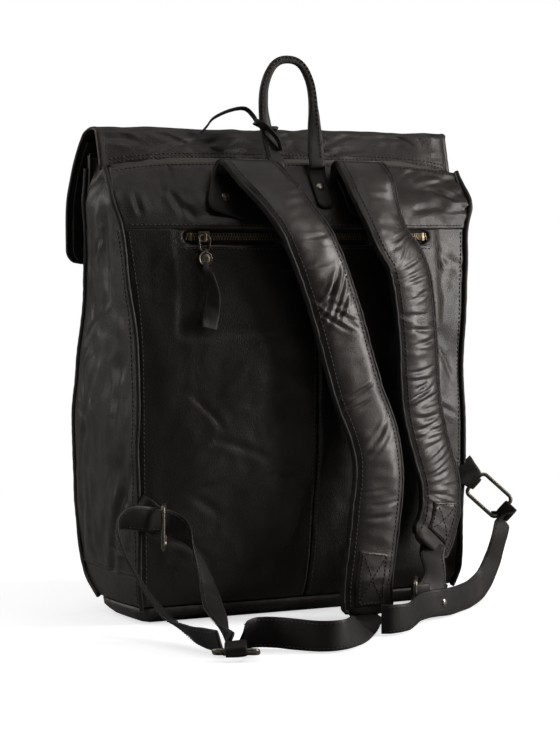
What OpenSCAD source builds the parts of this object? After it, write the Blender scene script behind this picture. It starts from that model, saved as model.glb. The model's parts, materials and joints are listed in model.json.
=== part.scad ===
// Leather backpack with a folded top flap, a zipped back pocket, two padded shoulder straps
// with buckled belts, and a carrying handle.
// X runs across the back, +X is the wearer's right. +Y points at the wearer, +Z is up.
// The origin is the centre of the flat base.

/* [Body] */
// Height of the ridge where the top folds over
ridge_h = 440; // [400:5:480]
// Width between the side seams at mid height
body_w = 336; // [300:2:380]
// Depth between the side seams at the fullest height
body_d = 130; // [110:2:150]
// Thickness of the outer leather
leather = 2.5; // [1.5:0.5:3]
// Height of the stitched boot on each side
boot_h = 45; // [30:1:60]

/* [Flap] */
// Width of the flap
flap_w = 380; // [376:2:400]
// Height of the flap's lower edge above the floor
flap_low = 318; // [300:2:340]

/* [Back pocket] */
// Height of the zip above the floor
zip_z = 343; // [335:1:350]
// Length of the zip chain
zip_l = 246; // [200:2:260]

/* [Harness] */
// Width of a padded shoulder strap
pad_w = 50; // [40:1:55]
// Thickness of the foam in a shoulder strap
foam = 7; // [4:0.5:9]
// Width of the adjusting belts
belt_w = 26; // [20:1:30]
// Thickness of the adjusting belts
belt_t = 2.6; // [2:0.2:3.4]

/* [Hardware] */
// Long side of a rectangular ring, wire centre to wire centre
ring_l = 38; // [34:1:42]
// Short side of a rectangular ring, wire centre to wire centre
ring_s = 25; // [22:1:28]
// Radius of ring and buckle wire
wire_r = 1.8; // [1.4:0.1:2.2]
// Long side of a buckle frame, wire centre to wire centre
buckle_l = 36; // [34:1:42]
// Short side of a buckle frame, wire centre to wire centre
buckle_s = 26; // [22:1:30]

/* [Hidden] */

hide = [0.16, 0.14, 0.13];   // washed black leather
edge = [0.07, 0.06, 0.06];   // piping, belts and linings
nickel = [0.55, 0.52, 0.46]; // antique nickel

gap = 0.4;                         // space between neighbouring pieces that don't move
seam_low = 14;                     // base panel to back and front panels
yoke_z = zip_z + 9;                // back panels to yoke
ridge_seam_z = 412 / 440 * ridge_h; // yoke to ridge strip
mouth_z = 418 / 440 * ridge_h;     // top edge of the front panel
window_h = 14;                     // opening for the zip
ridge_r = 6;                       // outer radius of the ridge
ridge_y = 0;                       // axis of the ridge, where the flap hinges
ridge_z = ridge_h - ridge_r;

// ---- the outer shape of the stuffed body, as tables over the height ----

function share(z) = z / ridge_h;
function half_w(z) = body_w / 2 * lookup(share(z), [[0, 0.90], [0.03, 0.955], [0.08, 0.985], [0.14, 0.99],
    [0.40, 1], [0.57, 1.005], [0.80, 1.055], [0.86, 1.08], [0.92, 1.085], [1, 1.10]]);
function back_d(z) = body_d * lookup(share(z), [[0, 0.30], [0.03, 0.40], [0.08, 0.45], [0.14, 0.46],
    [0.40, 0.46], [0.57, 0.445], [0.80, 0.37], [0.85, 0.32], [0.91, 0.21], [0.955, 0.12], [1, 0.045]]);
function front_d(z) = body_d * lookup(share(z), [[0, 0.21], [0.03, 0.31], [0.08, 0.46], [0.14, 0.53],
    [0.25, 0.58], [0.38, 0.60], [0.50, 0.52], [0.59, 0.42], [0.68, 0.34], [0.80, 0.22], [0.91, 0.12],
    [1, 0.09]]);
function back_bulge(z) = lookup(share(z), [[0, 1], [0.03, 3], [0.14, 10], [0.40, 22], [0.57, 24],
    [0.80, 18], [0.91, 12], [0.955, 8], [1, 2]]);
function front_bulge(z) = lookup(share(z), [[0, 1], [0.03, 2], [0.14, 8], [0.40, 14], [0.68, 16],
    [0.80, 16], [0.91, 8], [1, 0]]);
function side_bulge(z) = lookup(share(z), [[0, 1], [0.08, 4], [0.25, 10], [0.40, 12], [0.59, 9],
    [0.80, 5], [0.91, 2], [1, 0]]);

// Points of the shell at height z, set in by t. s runs over the panel's width from -1 to 1
function back_at(s, z, t = 0) = [-s * (half_w(z) - t), back_d(z) - t + back_bulge(z) * (1 - s * s), z];
function front_at(s, z, t = 0) = [s * (half_w(z) - t), -(front_d(z) - t) - front_bulge(z) * (1 - s * s), z];
function side_at(right, s, z, t = 0) =
    let (mid = (back_d(z) - front_d(z)) / 2, reach = (back_d(z) + front_d(z)) / 2 - t,
         out = half_w(z) - t + side_bulge(z) * (1 - s * s))
    right ? [out, mid + s * reach, z] : [-out, mid - s * reach, z];
// Outer face of the back over an x and z
function back_y(x, z) = back_d(z) + back_bulge(z) * (1 - pow(x / half_w(z), 2));
// Outer face of the front over an x and z
function front_y(x, z) = -front_d(z) - front_bulge(z) * (1 - pow(x / half_w(z), 2));

// Levels where the panels have their rings of points
levels = [0, 0.03, 0.08, 0.14, 0.25, 0.38, 0.50, 0.59, 0.68, 0.76, 0.84, 0.91, 0.955, 1] * ridge_h;
function levels_between(low, high) =
    concat([low], [for (z = levels) if (z > low + 2 && z < high - 2) z], [high]);

// ---- solids from grids and routes ----

// Closed sheet between two grids of points, each a list of rows; the first grid faces outward.
module sheet(outer, inner) {
    rows = len(outer);
    cols = len(outer[0]);
    n = rows * cols;
    function quad(a, b, c, d) = [[a, b, c], [a, c, d]];
    faces = concat(
        [for (r = [0 : rows - 2], c = [0 : cols - 2])
            each quad(r * cols + c, (r + 1) * cols + c, (r + 1) * cols + c + 1, r * cols + c + 1)],
        [for (r = [0 : rows - 2], c = [0 : cols - 2])
            let (k = n + r * cols + c) each quad(k, k + 1, k + cols + 1, k + cols)],
        [for (c = [0 : cols - 2]) each quad(c, c + 1, n + c + 1, n + c)],
        [for (c = [0 : cols - 2]) let (k = (rows - 1) * cols + c) each quad(k + 1, k, n + k, n + k + 1)],
        [for (r = [0 : rows - 2]) let (k = r * cols) each quad(k + cols, k, n + k, n + k + cols)],
        [for (r = [0 : rows - 2]) let (k = r * cols + cols - 1) each quad(k, k + cols, n + k + cols, n + k)]);
    polyhedron([for (row = outer) each row, for (row = inner) each row], faces, convexity = 6);
}

// Parameters across a panel: from a to b in n steps
function across(a, b, n) = [for (i = [0 : n]) a + (b - a) * i / n];

module back_piece(s0, s1, n, low, high, out = 0, t = leather)
    sheet([for (z = levels_between(low, high)) [for (s = across(s0, s1, n)) back_at(s, z, -out)]],
          [for (z = levels_between(low, high)) [for (s = across(s0, s1, n)) back_at(s, z, t - out)]]);

module front_piece(n, low, high, out = 0, t = leather)
    sheet([for (z = levels_between(low, high)) [for (s = across(-1, 1, n)) front_at(s, z, -out)]],
          [for (z = levels_between(low, high)) [for (s = across(-1, 1, n)) front_at(s, z, t - out)]]);

// Side pieces stop short of the corners by the gap that the seams take
module side_piece(right, n, low, high, out = 0, t = leather) {
    e = 1 - gap / 40;
    sheet([for (z = levels_between(low, high)) [for (s = across(-e, e, n)) side_at(right, s, z, -out)]],
          [for (z = levels_between(low, high)) [for (s = across(-e, e, n)) side_at(right, s, z, t - out)]]);
}

function unit(v) = v / norm(v);
function pick(v, i) = is_list(v) ? v[i] : v;
function pick_vector(v, i) = is_list(v[0]) ? v[i] : v;
function tangent(path, i) = unit(path[min(i + 1, len(path) - 1)] - path[max(i - 1, 0)]);

// Catmull-Rom points through a list, n to each span
function spline(p, n) = [for (i = [0 : len(p) - 2], k = [0 : n - 1])
    let (a = p[max(i - 1, 0)], b = p[i], c = p[i + 1], d = p[min(i + 2, len(p) - 1)], t = k / n)
    0.5 * (2 * b + (c - a) * t + (2 * a - 5 * b + 4 * c - d) * t * t + (3 * b - a - 3 * c + d) * t * t * t),
    p[len(p) - 1]];

// Strip along a route. wide gives the direction of its width at each point; low and high are
// how far its two faces stand from the route along its normal.
module band(path, wide, width, low, high) {
    n = len(path);
    points = [for (i = [0 : n - 1])
        let (t = tangent(path, i), up = unit(cross(pick_vector(wide, i), t)),
             w = cross(t, up) * pick(width, i) / 2)
        each [path[i] - w + up * pick(high, i), path[i] + w + up * pick(high, i),
              path[i] + w + up * pick(low, i), path[i] - w + up * pick(low, i)]];
    faces = concat(
        [[0, 1, 2, 3]],
        [for (i = [0 : n - 2], k = [0 : 3])
            let (a = 4 * i + k, b = 4 * i + (k + 1) % 4) each [[a, a + 4, b + 4], [a, b + 4, b]]],
        [[4 * n - 1, 4 * n - 2, 4 * n - 3, 4 * n - 4]]);
    polyhedron(points, faces, convexity = 6);
}

// Round tube along a route
module tube(path, r, sides = 8) {
    n = len(path);
    points = [for (i = [0 : n - 1])
        let (t = tangent(path, i), up = unit(cross(t, [0.3, 1, 0.1])), w = cross(up, t))
        for (k = [0 : sides - 1]) path[i] + r * (w * cos(k * 360 / sides) + up * sin(k * 360 / sides))];
    faces = concat(
        [[for (k = [0 : sides - 1]) k]],
        [for (i = [0 : n - 2], k = [0 : sides - 1])
            let (a = sides * i + k, b = sides * i + (k + 1) % sides)
            each [[a, a + sides, b + sides], [a, b + sides, b]]],
        [[for (k = [sides - 1 : -1 : 0]) sides * (n - 1) + k]]);
    polyhedron(points, faces, convexity = 6);
}

// Rounded rectangle of wire in the XY plane, long side along Y
module wire_frame(long, short, r, corner = 5) {
    for (sx = [-1, 1]) translate([sx * short / 2, 0, 0]) rotate([90, 0, 0])
        cylinder(r = r, h = long - 2 * corner, center = true, $fn = 32);
    for (sy = [-1, 1]) translate([0, sy * long / 2, 0]) rotate([0, 90, 0])
        cylinder(r = r, h = short - 2 * corner, center = true, $fn = 32);
    for (a = [0 : 3]) {
        sx = (a == 0 || a == 3) ? 1 : -1;
        sy = a < 2 ? 1 : -1;
        translate([sx * (short / 2 - corner), sy * (long / 2 - corner), 0]) rotate([0, 0, a * 90])
            rotate_extrude(angle = 90, $fn = 48) translate([corner, 0]) circle(r = r, $fn = 32);
    }
}

// ---- shell ----

module back_panel_right() {
    color(hide) difference() {
        back_piece(-0.995, -0.003, 7, seam_low + gap, yoke_z - gap / 2);
        zip_window();
    }
}

module back_panel_left() {
    color(hide) difference() {
        back_piece(0.003, 0.995, 7, seam_low + gap, yoke_z - gap / 2);
        zip_window();
    }
}

module zip_window() {
    translate([zip_x - zip_l / 2 - 3, 20, zip_z - window_h / 2]) cube([zip_l + 6, 70, window_h]);
}

module back_yoke() color(hide) back_piece(-0.995, 0.995, 12, yoke_z + gap / 2, ridge_seam_z - gap / 2);
module side_gusset_right() color(hide) side_piece(true, 5, boot_h + gap / 2, mouth_z);
module side_gusset_left() color(hide) side_piece(false, 5, boot_h + gap / 2, mouth_z);
module side_boot_right() color(hide) side_piece(true, 5, seam_low + gap, boot_h - gap / 2);
module side_boot_left() color(hide) side_piece(false, 5, seam_low + gap, boot_h - gap / 2);
module front_panel() color(hide) front_piece(12, seam_low + gap, mouth_z);

// Outline of the shell at one height, set in by t
function outline(z, t) = concat(
    [for (s = across(-1, 1, 8)) back_at(s, z, t)],
    [for (s = [-0.5, 0, 0.5]) side_at(false, s, z, t)],
    [for (s = across(-1, 1, 8)) front_at(s, z, t)],
    [for (s = [-0.5, 0, 0.5]) side_at(true, s, z, t)]);

// Open cup from rings of points: outer rings from the bottom up, inner rings from the bottom up
module cup(outer, inner) {
    n = len(outer[0]);
    m = len(outer);
    rings = concat(outer, [for (i = [len(inner) - 1 : -1 : 0]) inner[i]]);
    last = (len(rings) - 1) * n;
    faces = concat(
        [[for (k = [n - 1 : -1 : 0]) k]],
        [for (r = [0 : len(rings) - 2], k = [0 : n - 1])
            let (a = r * n + k, b = r * n + (k + 1) % n) each [[a, b, b + n], [a, b + n, a + n]]],
        [[for (k = [0 : n - 1]) last + k]]);
    polyhedron([for (ring = rings) each ring], faces, convexity = 6);
}

module base_panel()
    color(hide) cup([for (z = [0, 5, seam_low]) outline(z, 0)],
                    [for (z = [leather, seam_low]) outline(z, leather)]);

lining_in = leather + 8; // the back pocket lies between the leather and the lining
module lining_bag() {
    heights = [seam_low, 0.14 * ridge_h, 0.25 * ridge_h, 0.38 * ridge_h, 0.5 * ridge_h, 0.59 * ridge_h,
               0.68 * ridge_h, 0.8 * ridge_h, 0.86 * ridge_h, 0.91 * ridge_h, mouth_z - 4];
    color(edge) cup(concat([outline(7.2, lining_in)], [for (z = heights) outline(z, lining_in)]),
                    concat([outline(8.2, lining_in + 1)], [for (z = heights) outline(z, lining_in + 1)]));
}

board_z = 3; // underside of the board that stiffens the base
board_t = 3;
module base_board() color(edge) translate([0, 0, board_z]) linear_extrude(board_t)
    polygon([for (p = outline(board_z, leather + 3)) [p[0], p[1]]]);

// Leather over the ridge, from the seam on the back to just past the crest, where the flap takes over
function ridge_back(t) = concat(
    [for (z = [ridge_seam_z + gap / 2, (ridge_seam_z + ridge_z) / 2])
        [0, back_d(z) + 0.6 * back_bulge(z) - t, z]],
    [for (a = [0 : 30 : 120]) [0, ridge_y + (ridge_r - t) * cos(a), ridge_z + (ridge_r - t) * sin(a)]]);

module ridge_strip() {
    xs = across(1, -1, 10);
    function bow(x, z) = z < ridge_z ? 4 * (1 - x * x) - 2 : 0;
    function rows(t) = [for (p = ridge_back(t)) [for (x = xs) [x * half_w(p[2]), p[1] + bow(x, p[2]), p[2]]]];
    color(hide) sheet(rows(0), rows(leather));
}

// Piping stands in the valley outside each corner seam
module piping(front) for (side = [-1, 1]) {
    path = [for (z = levels_between(seam_low, ridge_seam_z - 6))
        [side * (half_w(z) + 1.6), front ? -front_d(z) - 1.6 : back_d(z) + 1.6, z]];
    tube(path, 1.7, 6);
}
module back_piping() color(edge) piping(false);
module front_piping() color(edge) piping(true);

// ---- flap ----

// Profile of the flap from the crest down the front, as [y, z] on its outer face
flap_profile = [[-10.5, 436], [-20, 426], [-31, 410], [-39, 392], [-46, 372], [-50, 345], [-49, 318]];
profile_low = 318;   // z of the profile's last point
profile_fold = 430;  // the profile is fixed above this, and stretches with flap_low below it
flap_lip = 0.6;      // clearance of the flap's lip over the ridge
flap_t = leather - 0.5;
function flap_bow(z) = lookup(z, [[345, 10], [426, 2], [profile_fold, 0]]);
function flap_row(y, z, w) = [for (x = across(-1, 1, 10)) [x * w, y - flap_bow(z) * (1 - x * x), z]];
flap_bend = 426;     // z where the flap starts to hang
function flap_z(z) = z < profile_fold
    ? flap_low + (z - profile_low) * (flap_bend - flap_low) / (flap_bend - profile_low)
    : z;
function reversed(v) = [for (i = [len(v) - 1 : -1 : 0]) v[i]];
// Rows run from the lower edge up, so that the outer face looks forward
function flap_rows(t) = reversed(concat(
    [for (a = [35, 44, 53]) let (r = ridge_r + flap_lip + leather - t)
        flap_row(ridge_y - r * sin(a), ridge_z + r * cos(a), flap_w / 2)],
    [for (p = flap_profile) flap_row(p[0] + t * 0.9, flap_z(p[1]), flap_w / 2)]));
function flap_lining_rows(t) = reversed([for (p = flap_profile) if (p[1] < profile_fold)
    flap_row(p[0] + t, flap_z(p[1]) + (p[1] == profile_low ? 5 : 0), flap_w / 2 - 6)]);

module flap() color(hide) sheet(flap_rows(0), flap_rows(flap_t));
module flap_lining() color(edge) sheet(flap_lining_rows(flap_t + 0.4), flap_lining_rows(flap_t + 1.4));

// Magnetic snaps: a stud under the flap's lining meets a socket on the front panel
snap_x = 95;
snap_z = flap_low + 16;
snap_r = 8;
stud_y = -49 - flap_bow(snap_z) * (1 - pow(snap_x / (flap_w / 2), 2)) + flap_t + 1.7;
stud_t = 2.6;
socket_t = front_y(snap_x, snap_z) - 2.9 - (stud_y + stud_t);
module flap_snaps() color(nickel) for (side = [-1, 1])
    translate([side * snap_x, stud_y, snap_z]) rotate([-90, 0, 0]) cylinder(r = snap_r, h = stud_t, $fn = 32);
module snap_sockets() color(nickel) for (side = [-1, 1])
    translate([side * snap_x, stud_y + stud_t + 0.5, snap_z])
        rotate([-90, 0, 0]) cylinder(r = snap_r, h = socket_t, $fn = 32);

// ---- back pocket ----

zip_x = -5;                       // middle of the zip
zip_r = 870;                      // the zip lies on an arc of this radius, bent round the stuffed back
zip_y = back_y(0, zip_z) - zip_r; // its centre
zip_a = zip_l / zip_r * 180 / PI; // its angle
zip_mid = 90 - zip_x / zip_r * 180 / PI;

// Arc strip round the zip's centre: radial span, height span and angle span
module zip_arc(r0, r1, h, a0, a1) translate([0, zip_y, zip_z]) rotate([0, 0, a0])
    rotate_extrude(angle = a1 - a0, $fn = 360) translate([zip_r + r0, -h / 2]) square([r1 - r0, h]);

module zip_tape() color(edge)
    zip_arc(-5, -4.2, window_h + 4, zip_mid - zip_a / 2 - 0.3, zip_mid + zip_a / 2 + 0.3);
tooth_pitch = 5;
teeth = floor(zip_l / tooth_pitch) - 2;
module zip_teeth() color(nickel) {
    zip_arc(-4, -2.4, 3, zip_mid - zip_a / 2 + 0.4, zip_mid + zip_a / 2 - 0.4);
    for (i = [0 : teeth - 1]) translate([0, zip_y, zip_z])
        rotate([0, 0, zip_mid + (i - (teeth - 1) / 2) * tooth_pitch / zip_r * 180 / PI])
            translate([zip_r - 2.9, -1.5, -2.5]) cube([2.1, 3, 5]);
}
module zip_stops() color(nickel) for (side = [-1, 1]) translate([0, zip_y, zip_z])
    rotate([0, 0, zip_mid + side * (zip_a / 2 - 0.15)]) translate([zip_r - 4, -1.2, -3.5]) cube([3, 2.4, 7]);

slider_a = zip_mid - zip_a / 2 + 0.9;   // the closed end, on the wearer's right
module at_slider() translate([0, zip_y, zip_z]) rotate([0, 0, slider_a]) translate([zip_r, 0, 0]) children();
module zip_slider() color(nickel) at_slider() {
    difference() {
        translate([-0.4, -5, -4.5]) cube([2.4, 10, 9]);
        translate([-1, -6, -2.9]) cube([0.9, 12, 5.8]);
    }
    // Bridge that the pull's bar runs through
    for (s = [-1, 1]) translate([2, -1.5, s * 2.9 - 0.7]) cube([2.6, 3, 1.4]);
    translate([4.2, -1.5, -3.6]) cube([1.2, 3, 7.2]);
}
// The pull hangs from the slider's bridge and lies clear of the bulge of the back
pull_out = 3.2; // distance of its bar from the zip
module pull_link() color(nickel) at_slider() {
    for (s = [-1, 1]) translate([pull_out - 0.6, s * 4.8 - 0.7, -12]) cube([1.2, 1.4, 12.6]);
    translate([pull_out - 0.6, -5.5, -0.6]) cube([1.2, 11, 1.2]);
    translate([pull_out - 0.6, -5.5, -13.2]) cube([1.2, 11, 1.2]);
}
module pull_medallion() color(nickel) at_slider() translate([pull_out + 1, 0, -19.5]) rotate([0, 80, 0])
    cylinder(r = 6, h = 2, $fn = 48);
module pull_tail() color(hide) at_slider()
    band(spline([[7.4, 0, -27], [9.5, 3, -38], [11.5, 6, -52], [13.5, 3, -66], [15.5, 0, -80]], 2),
         [0, 1, 0], [8, 9, 10, 11, 12, 12, 13, 14, 15], -1, 1);

module back_pocket_bag() {
    function y_in(x, z) = back_y(x, z) - leather - 4.7;
    xs = across(122, -132, 6);
    zs = [zip_z - 150, zip_z - 110, zip_z - 70, zip_z - 30, zip_z + 3];
    color(edge) sheet([for (z = zs) [for (x = xs) [x, y_in(x, z), z]]],
                      [for (z = zs) [for (x = xs) [x, y_in(x, z) - 1.6, z]]]);
}

module back_patch() {
    zs = across(263, 313, 4);
    xs = across(33, 14, 2);
    color(edge) sheet([for (z = zs) [for (x = xs) [x, back_y(x, z) + 1.9, z]]],
                      [for (z = zs) [for (x = xs) [x, back_y(x, z) + 0.4, z]]]);
}

// ---- handle ----

handle_x = 21;         // middle of each leg
module handle_tabs() color(edge) for (side = [-1, 1])
    band([for (p = [[58.4, 374], [49.6, 388], [42.8, 400], [41.4, 406.5]]) [side * handle_x, p[0], p[1]]],
         [1, 0, 0], [13, 17, 17, 16], -1.5, 1.5);
module handle_rivets() color(nickel) for (side = [-1, 1])
    translate([side * (handle_x - 1.5), 51.7, 388]) rotate([-58, 0, 0]) cylinder(r = 3.6, h = 1.4, $fn = 32);

handle_route = [[21, 42, 409.5], [22.5, 37, 421], [25, 30, 440], [26, 26, 460], [24, 25, 480], [17, 25, 496],
                [7, 25, 503.5]];
module handle_loop() {
    half = spline(handle_route, 2);
    path = concat(half, [for (i = [len(half) - 1 : -1 : 0]) [-half[i][0], half[i][1], half[i][2]]]);
    n = len(path);
    function along(table) = [for (i = [0 : n - 1]) lookup(min(i, n - 1 - i), table)];
    taper = along([[0, 16], [4, 15], [7, 9], [12, 8]]);
    thick = along([[0, 1.8], [4, 2], [7, 3.4], [12, 3.6]]);
    // The legs face the wearer; over the top the strap is folded to a round cord
    wide = [for (i = [0 : n - 1]) let (k = i / (n - 1)) [cos(180 * k), 0.001, sin(180 * k)]];
    color(edge) band(path, wide, taper, -thick, thick);
}

tie_route = [[77, 13, 442], [71, 15, 450], [56, 17, 456], [42, 18, 459]];
module tie_strap() color(edge) band(spline(tie_route, 3), [0, 1, 0.3], 6, -0.8, 0.8);

// ---- shoulder straps ----

pad_right = [[56, 60, 402], [35, 77, 378], [18, 88.5, 349], [6, 93.5, 322], [-4, 96, 292], [-12, 99, 265],
             [-20, 101, 235], [-30, 104, 200], [-43, 107, 165], [-47, 110, 130], [-42, 112, 90],
             [-37, 113, 55], [-33, 114, 30], [-33, 115, 7]];
pad_left = [[-58, 60, 402], [-64, 77, 373], [-73, 89, 340], [-86, 92, 318], [-92, 94, 290], [-96, 95, 248],
            [-98, 95, 212], [-102, 94, 183], [-112, 93, 148], [-121, 93, 120], [-122, 94, 96], [-116, 96, 75],
            [-106, 100, 60]];
wide_right = [1, 0.05, 0.3];
wide_left = [1, 0.3, 0.1];

module pad_layer(route, wide, low, high, trim)
    band(spline(route, 2), wide, [for (i = [0 : 2 * len(route) - 2]) pad_w - trim - (i < 2 ? 4 : 0)],
         low, high);

half_t = foam / 2;
module strap_face_right() color(hide) pad_layer(pad_right, wide_right, half_t + 0.3, half_t + 1.8, 0);
module strap_foam_right() color("dimgray") pad_layer(pad_right, wide_right, -half_t, half_t, 6);
module strap_back_right() color(edge) pad_layer(pad_right, wide_right, -half_t - 1.8, -half_t - 0.3, 0);
module strap_face_left() color(hide) pad_layer(pad_left, wide_left, half_t + 0.3, half_t + 1.8, 0);
module strap_foam_left() color("dimgray") pad_layer(pad_left, wide_left, -half_t, half_t, 6);
module strap_back_left() color(edge) pad_layer(pad_left, wide_left, -half_t - 1.8, -half_t - 0.3, 0);
module strap_patch(route, wide) color(hide) band(route, wide, 30, half_t + 2.1, half_t + 4);
module strap_patch_right() strap_patch([[-37.5, 113.4, 58], [-34, 114.2, 34], [-33, 115.2, 13]], wide_right);
module strap_patch_left() strap_patch([[-122, 94.6, 98], [-118, 96.6, 82], [-110.5, 99.8, 67]], wide_left);

// Under layer of each strap, riveted to the yoke and folded over at the top
module anchor(x, lean) color(edge)
    band([[x + lean, back_y(x + lean, 366) + 5, 366], [x + lean * 0.6, back_y(x, 384) + 5, 384],
          [x + lean * 0.2, 44.4, 401]], [1, 0, 0.2], [40, 44, 46], -1.4, 1.4);
module strap_anchor_right() anchor(58, 22);
module strap_anchor_left() anchor(-60, -2);
module anchor_rivets() color(nickel) for (x = [80, -62])
    translate([x, back_y(x, 378) + 7.9, 378]) rotate([-58, 0, 0]) cylinder(r = 3.6, h = 1.6, $fn = 32);

// ---- side tabs, rings, belts and buckles ----

ring_pos_right = [155, 86, 91];
ring_turn_right = 62;   // its long bars stand upright, and its plane is turned this far from the back
ring_pos_left = [-192, 69, 99];

module side_tab_right() color(hide) {
    bar = ring_pos_right - ring_s / 2 * [cos(ring_turn_right), sin(ring_turn_right), 0];
    band([[168, 64.6, 100], [160, 69, 97], bar + [2.2, -4.3, 0]], [0, 0, 1], [34, 30, 24], -1.2, 1.2);
}
module ring_right() color(nickel) translate(ring_pos_right) rotate([90, 0, ring_turn_right])
    wire_frame(ring_l, ring_s, wire_r);
module ring_left() color(nickel) translate(ring_pos_left) rotate([90, 0, -28]) rotate([0, 0, 42])
    wire_frame(ring_s, ring_l, wire_r);
module side_tab_left() color(hide)
    band([[-168.5, 65.4, 122], [-174, 66.8, 117], [-178.4, 66.6, 113]],
         [[-0.7, 0.05, 0.72], [-0.64, 0.2, 0.73], [-0.59, 0.31, 0.74]], [30, 26, 20], -1.2, 1.2);

// A belt is a strip along a route, with a direction of its width at each of the route's points
module belt(route, wide, w = belt_w) color(edge)
    band(spline(route, 2), is_list(wide[0]) ? spline(wide, 2) : wide, w, -belt_t / 2, belt_t / 2);

belt_right_route = [[-32, 112, 2], [-24, 132, 2.4], [-6, 158, 4], [16, 190, 8], [42, 228, 12.5], [68, 250, 14],
                    [88, 248, 14], [102, 230, 14], [113, 213, 14], [126, 206, 14], [139, 212, 13], [146, 221, 11]];
belt_right_wide = [[1, 0, 0], [1, -0.4, 0], [0.9, -0.6, 0.1], [0.6, -0.5, 0.6], [0.2, -0.3, 0.9], [0, 0, 1],
                   [0, 0, 1], [0, 0, 1], [0, 0, 1], [0, 0.2, 1], [0, 0.3, 1], [0, 0.4, 1]];
module belt_right() belt(belt_right_route, belt_right_wide);

// From the right buckle up through the ring and back to the buckle
belt_tail_right_route = [[173, 208, 12], [176, 184, 13], [180, 150, 20], [190, 122, 44], [200, 104, 70],
                         [203, 94, 92], [192, 92, 101], [172, 90, 99], [152, 88.5, 95], [138, 93, 84],
                         [130, 104, 64], [132, 126, 42], [142, 160, 26], [152, 194, 16], [156, 212, 12]];
belt_tail_right_wide = [[0.5, 0, 1], [0.6, 0.1, 0.8], [0.8, 0.5, 0.3], [0.5, 0.8, 0.2], [0.4, 0.9, 0.2],
                        [0.3, 0.8, 0.5], [0.1, 0.4, 0.9], [0, 0.1, 1], [0, 0.1, 1], [0.3, 0.3, 0.9],
                        [0.7, 0.5, 0.5], [0.9, 0.3, 0.3], [0.9, 0, 0.3], [0.6, 0, 0.8], [0.2, 0, 1]];
module belt_tail_right() belt(belt_tail_right_route, belt_tail_right_wide, belt_w - 4);

module place_buckle_right() translate([163, 240, 6]) rotate([15, 0, -28]) rotate([0, 0, 90]) children();
module buckle_frame_right() color(nickel) place_buckle_right() wire_frame(buckle_l, buckle_s, wire_r);

module place_buckle_left() translate([-65, 145, 20]) rotate([90, 0, 58]) children();
module buckle_frame_left() color(nickel) place_buckle_left() wire_frame(buckle_l, buckle_s, wire_r);

// The prong's eye runs round one long bar, and its point rests on the other
module prong() color(nickel) {
    translate([-buckle_s / 2, 0, 0]) rotate([90, 0, 0]) difference() {
        cylinder(r = wire_r + 1.5, h = 4, center = true, $fn = 32);
        cylinder(r = wire_r + 0.1, h = 5, center = true, $fn = 32);
    }
    translate([-buckle_s / 2 + wire_r + 0.8, -1.3, wire_r + 0.1]) cube([buckle_s - 0.5, 2.6, 1.4]);
}
module buckle_prong_right() place_buckle_right() prong();
module buckle_prong_left() place_buckle_left() prong();

belt_left_route = [[-105, 107, 48], [-105, 113, 41], [-101, 122, 33], [-90, 130, 26], [-81, 133, 22]];
belt_left_wide = [[1, -0.3, 0.3], [0.9, -0.4, 0.5], [0.6, -0.4, 0.8], [0.3, -0.3, 1], [0, 0, 1]];
module belt_left() belt(belt_left_route, belt_left_wide);

// From the left ring down to the floor and along it to the buckle
belt_tail_left_route = [[-196, 80, 72], [-194, 80, 58], [-188, 80, 38], [-174, 86, 20], [-150, 102, 12],
                        [-124, 122, 12], [-106, 135, 13.5], [-92, 141, 14.5]];
belt_tail_left_wide = [[1, 0.4, 0.1], [1, 0.4, 0.1], [1, 0.3, 0.1], [0.6, 0.2, 0.6], [0.2, 0, 1], [0, 0, 1],
                       [0, 0, 1], [0, 0, 1]];
module belt_tail_left() belt(belt_tail_left_route, belt_tail_left_wide);

// End of the left belt beyond the buckle, curled on the floor
belt_end_left_route = [[-53, 160, 15], [-40, 182, 14.5], [-25, 198, 14.5], [-8, 203, 14.5]];
module belt_end_left() belt(belt_end_left_route, [0, 0, 1]);
module belt_rivet_left() color(nickel) translate([-96, 143, 14]) rotate([-90, 0, 28])
    cylinder(r = 3, h = 1.4, $fn = 32);

back_panel_right();
back_panel_left();
back_yoke();
side_gusset_right();
side_gusset_left();
side_boot_right();
side_boot_left();
base_panel();
front_panel();
ridge_strip();
back_piping();
front_piping();
lining_bag();
base_board();
back_pocket_bag();
zip_tape();
zip_teeth();
zip_stops();
back_patch();
handle_tabs();
handle_rivets();
strap_anchor_right();
strap_anchor_left();
anchor_rivets();
side_tab_right();
side_tab_left();
belt_right();
belt_left();
belt_tail_right();
belt_tail_left();
buckle_frame_right();
buckle_frame_left();
belt_end_left();
belt_rivet_left();
snap_sockets();
tie_strap();
flap();
flap_lining();
flap_snaps();
handle_loop();
zip_slider();
pull_link();
pull_medallion();
pull_tail();
strap_face_right();
strap_foam_right();
strap_back_right();
strap_patch_right();
strap_face_left();
strap_foam_left();
strap_back_left();
strap_patch_left();
ring_right();
ring_left();
buckle_prong_right();
buckle_prong_left();
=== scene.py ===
# Leather backpack, stuffed and standing, seen from its harness side; lengths are in metres
import json
import math
import bmesh
import bpy
import numpy as np
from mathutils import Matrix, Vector
from mathutils.bvhtree import BVHTree


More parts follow.
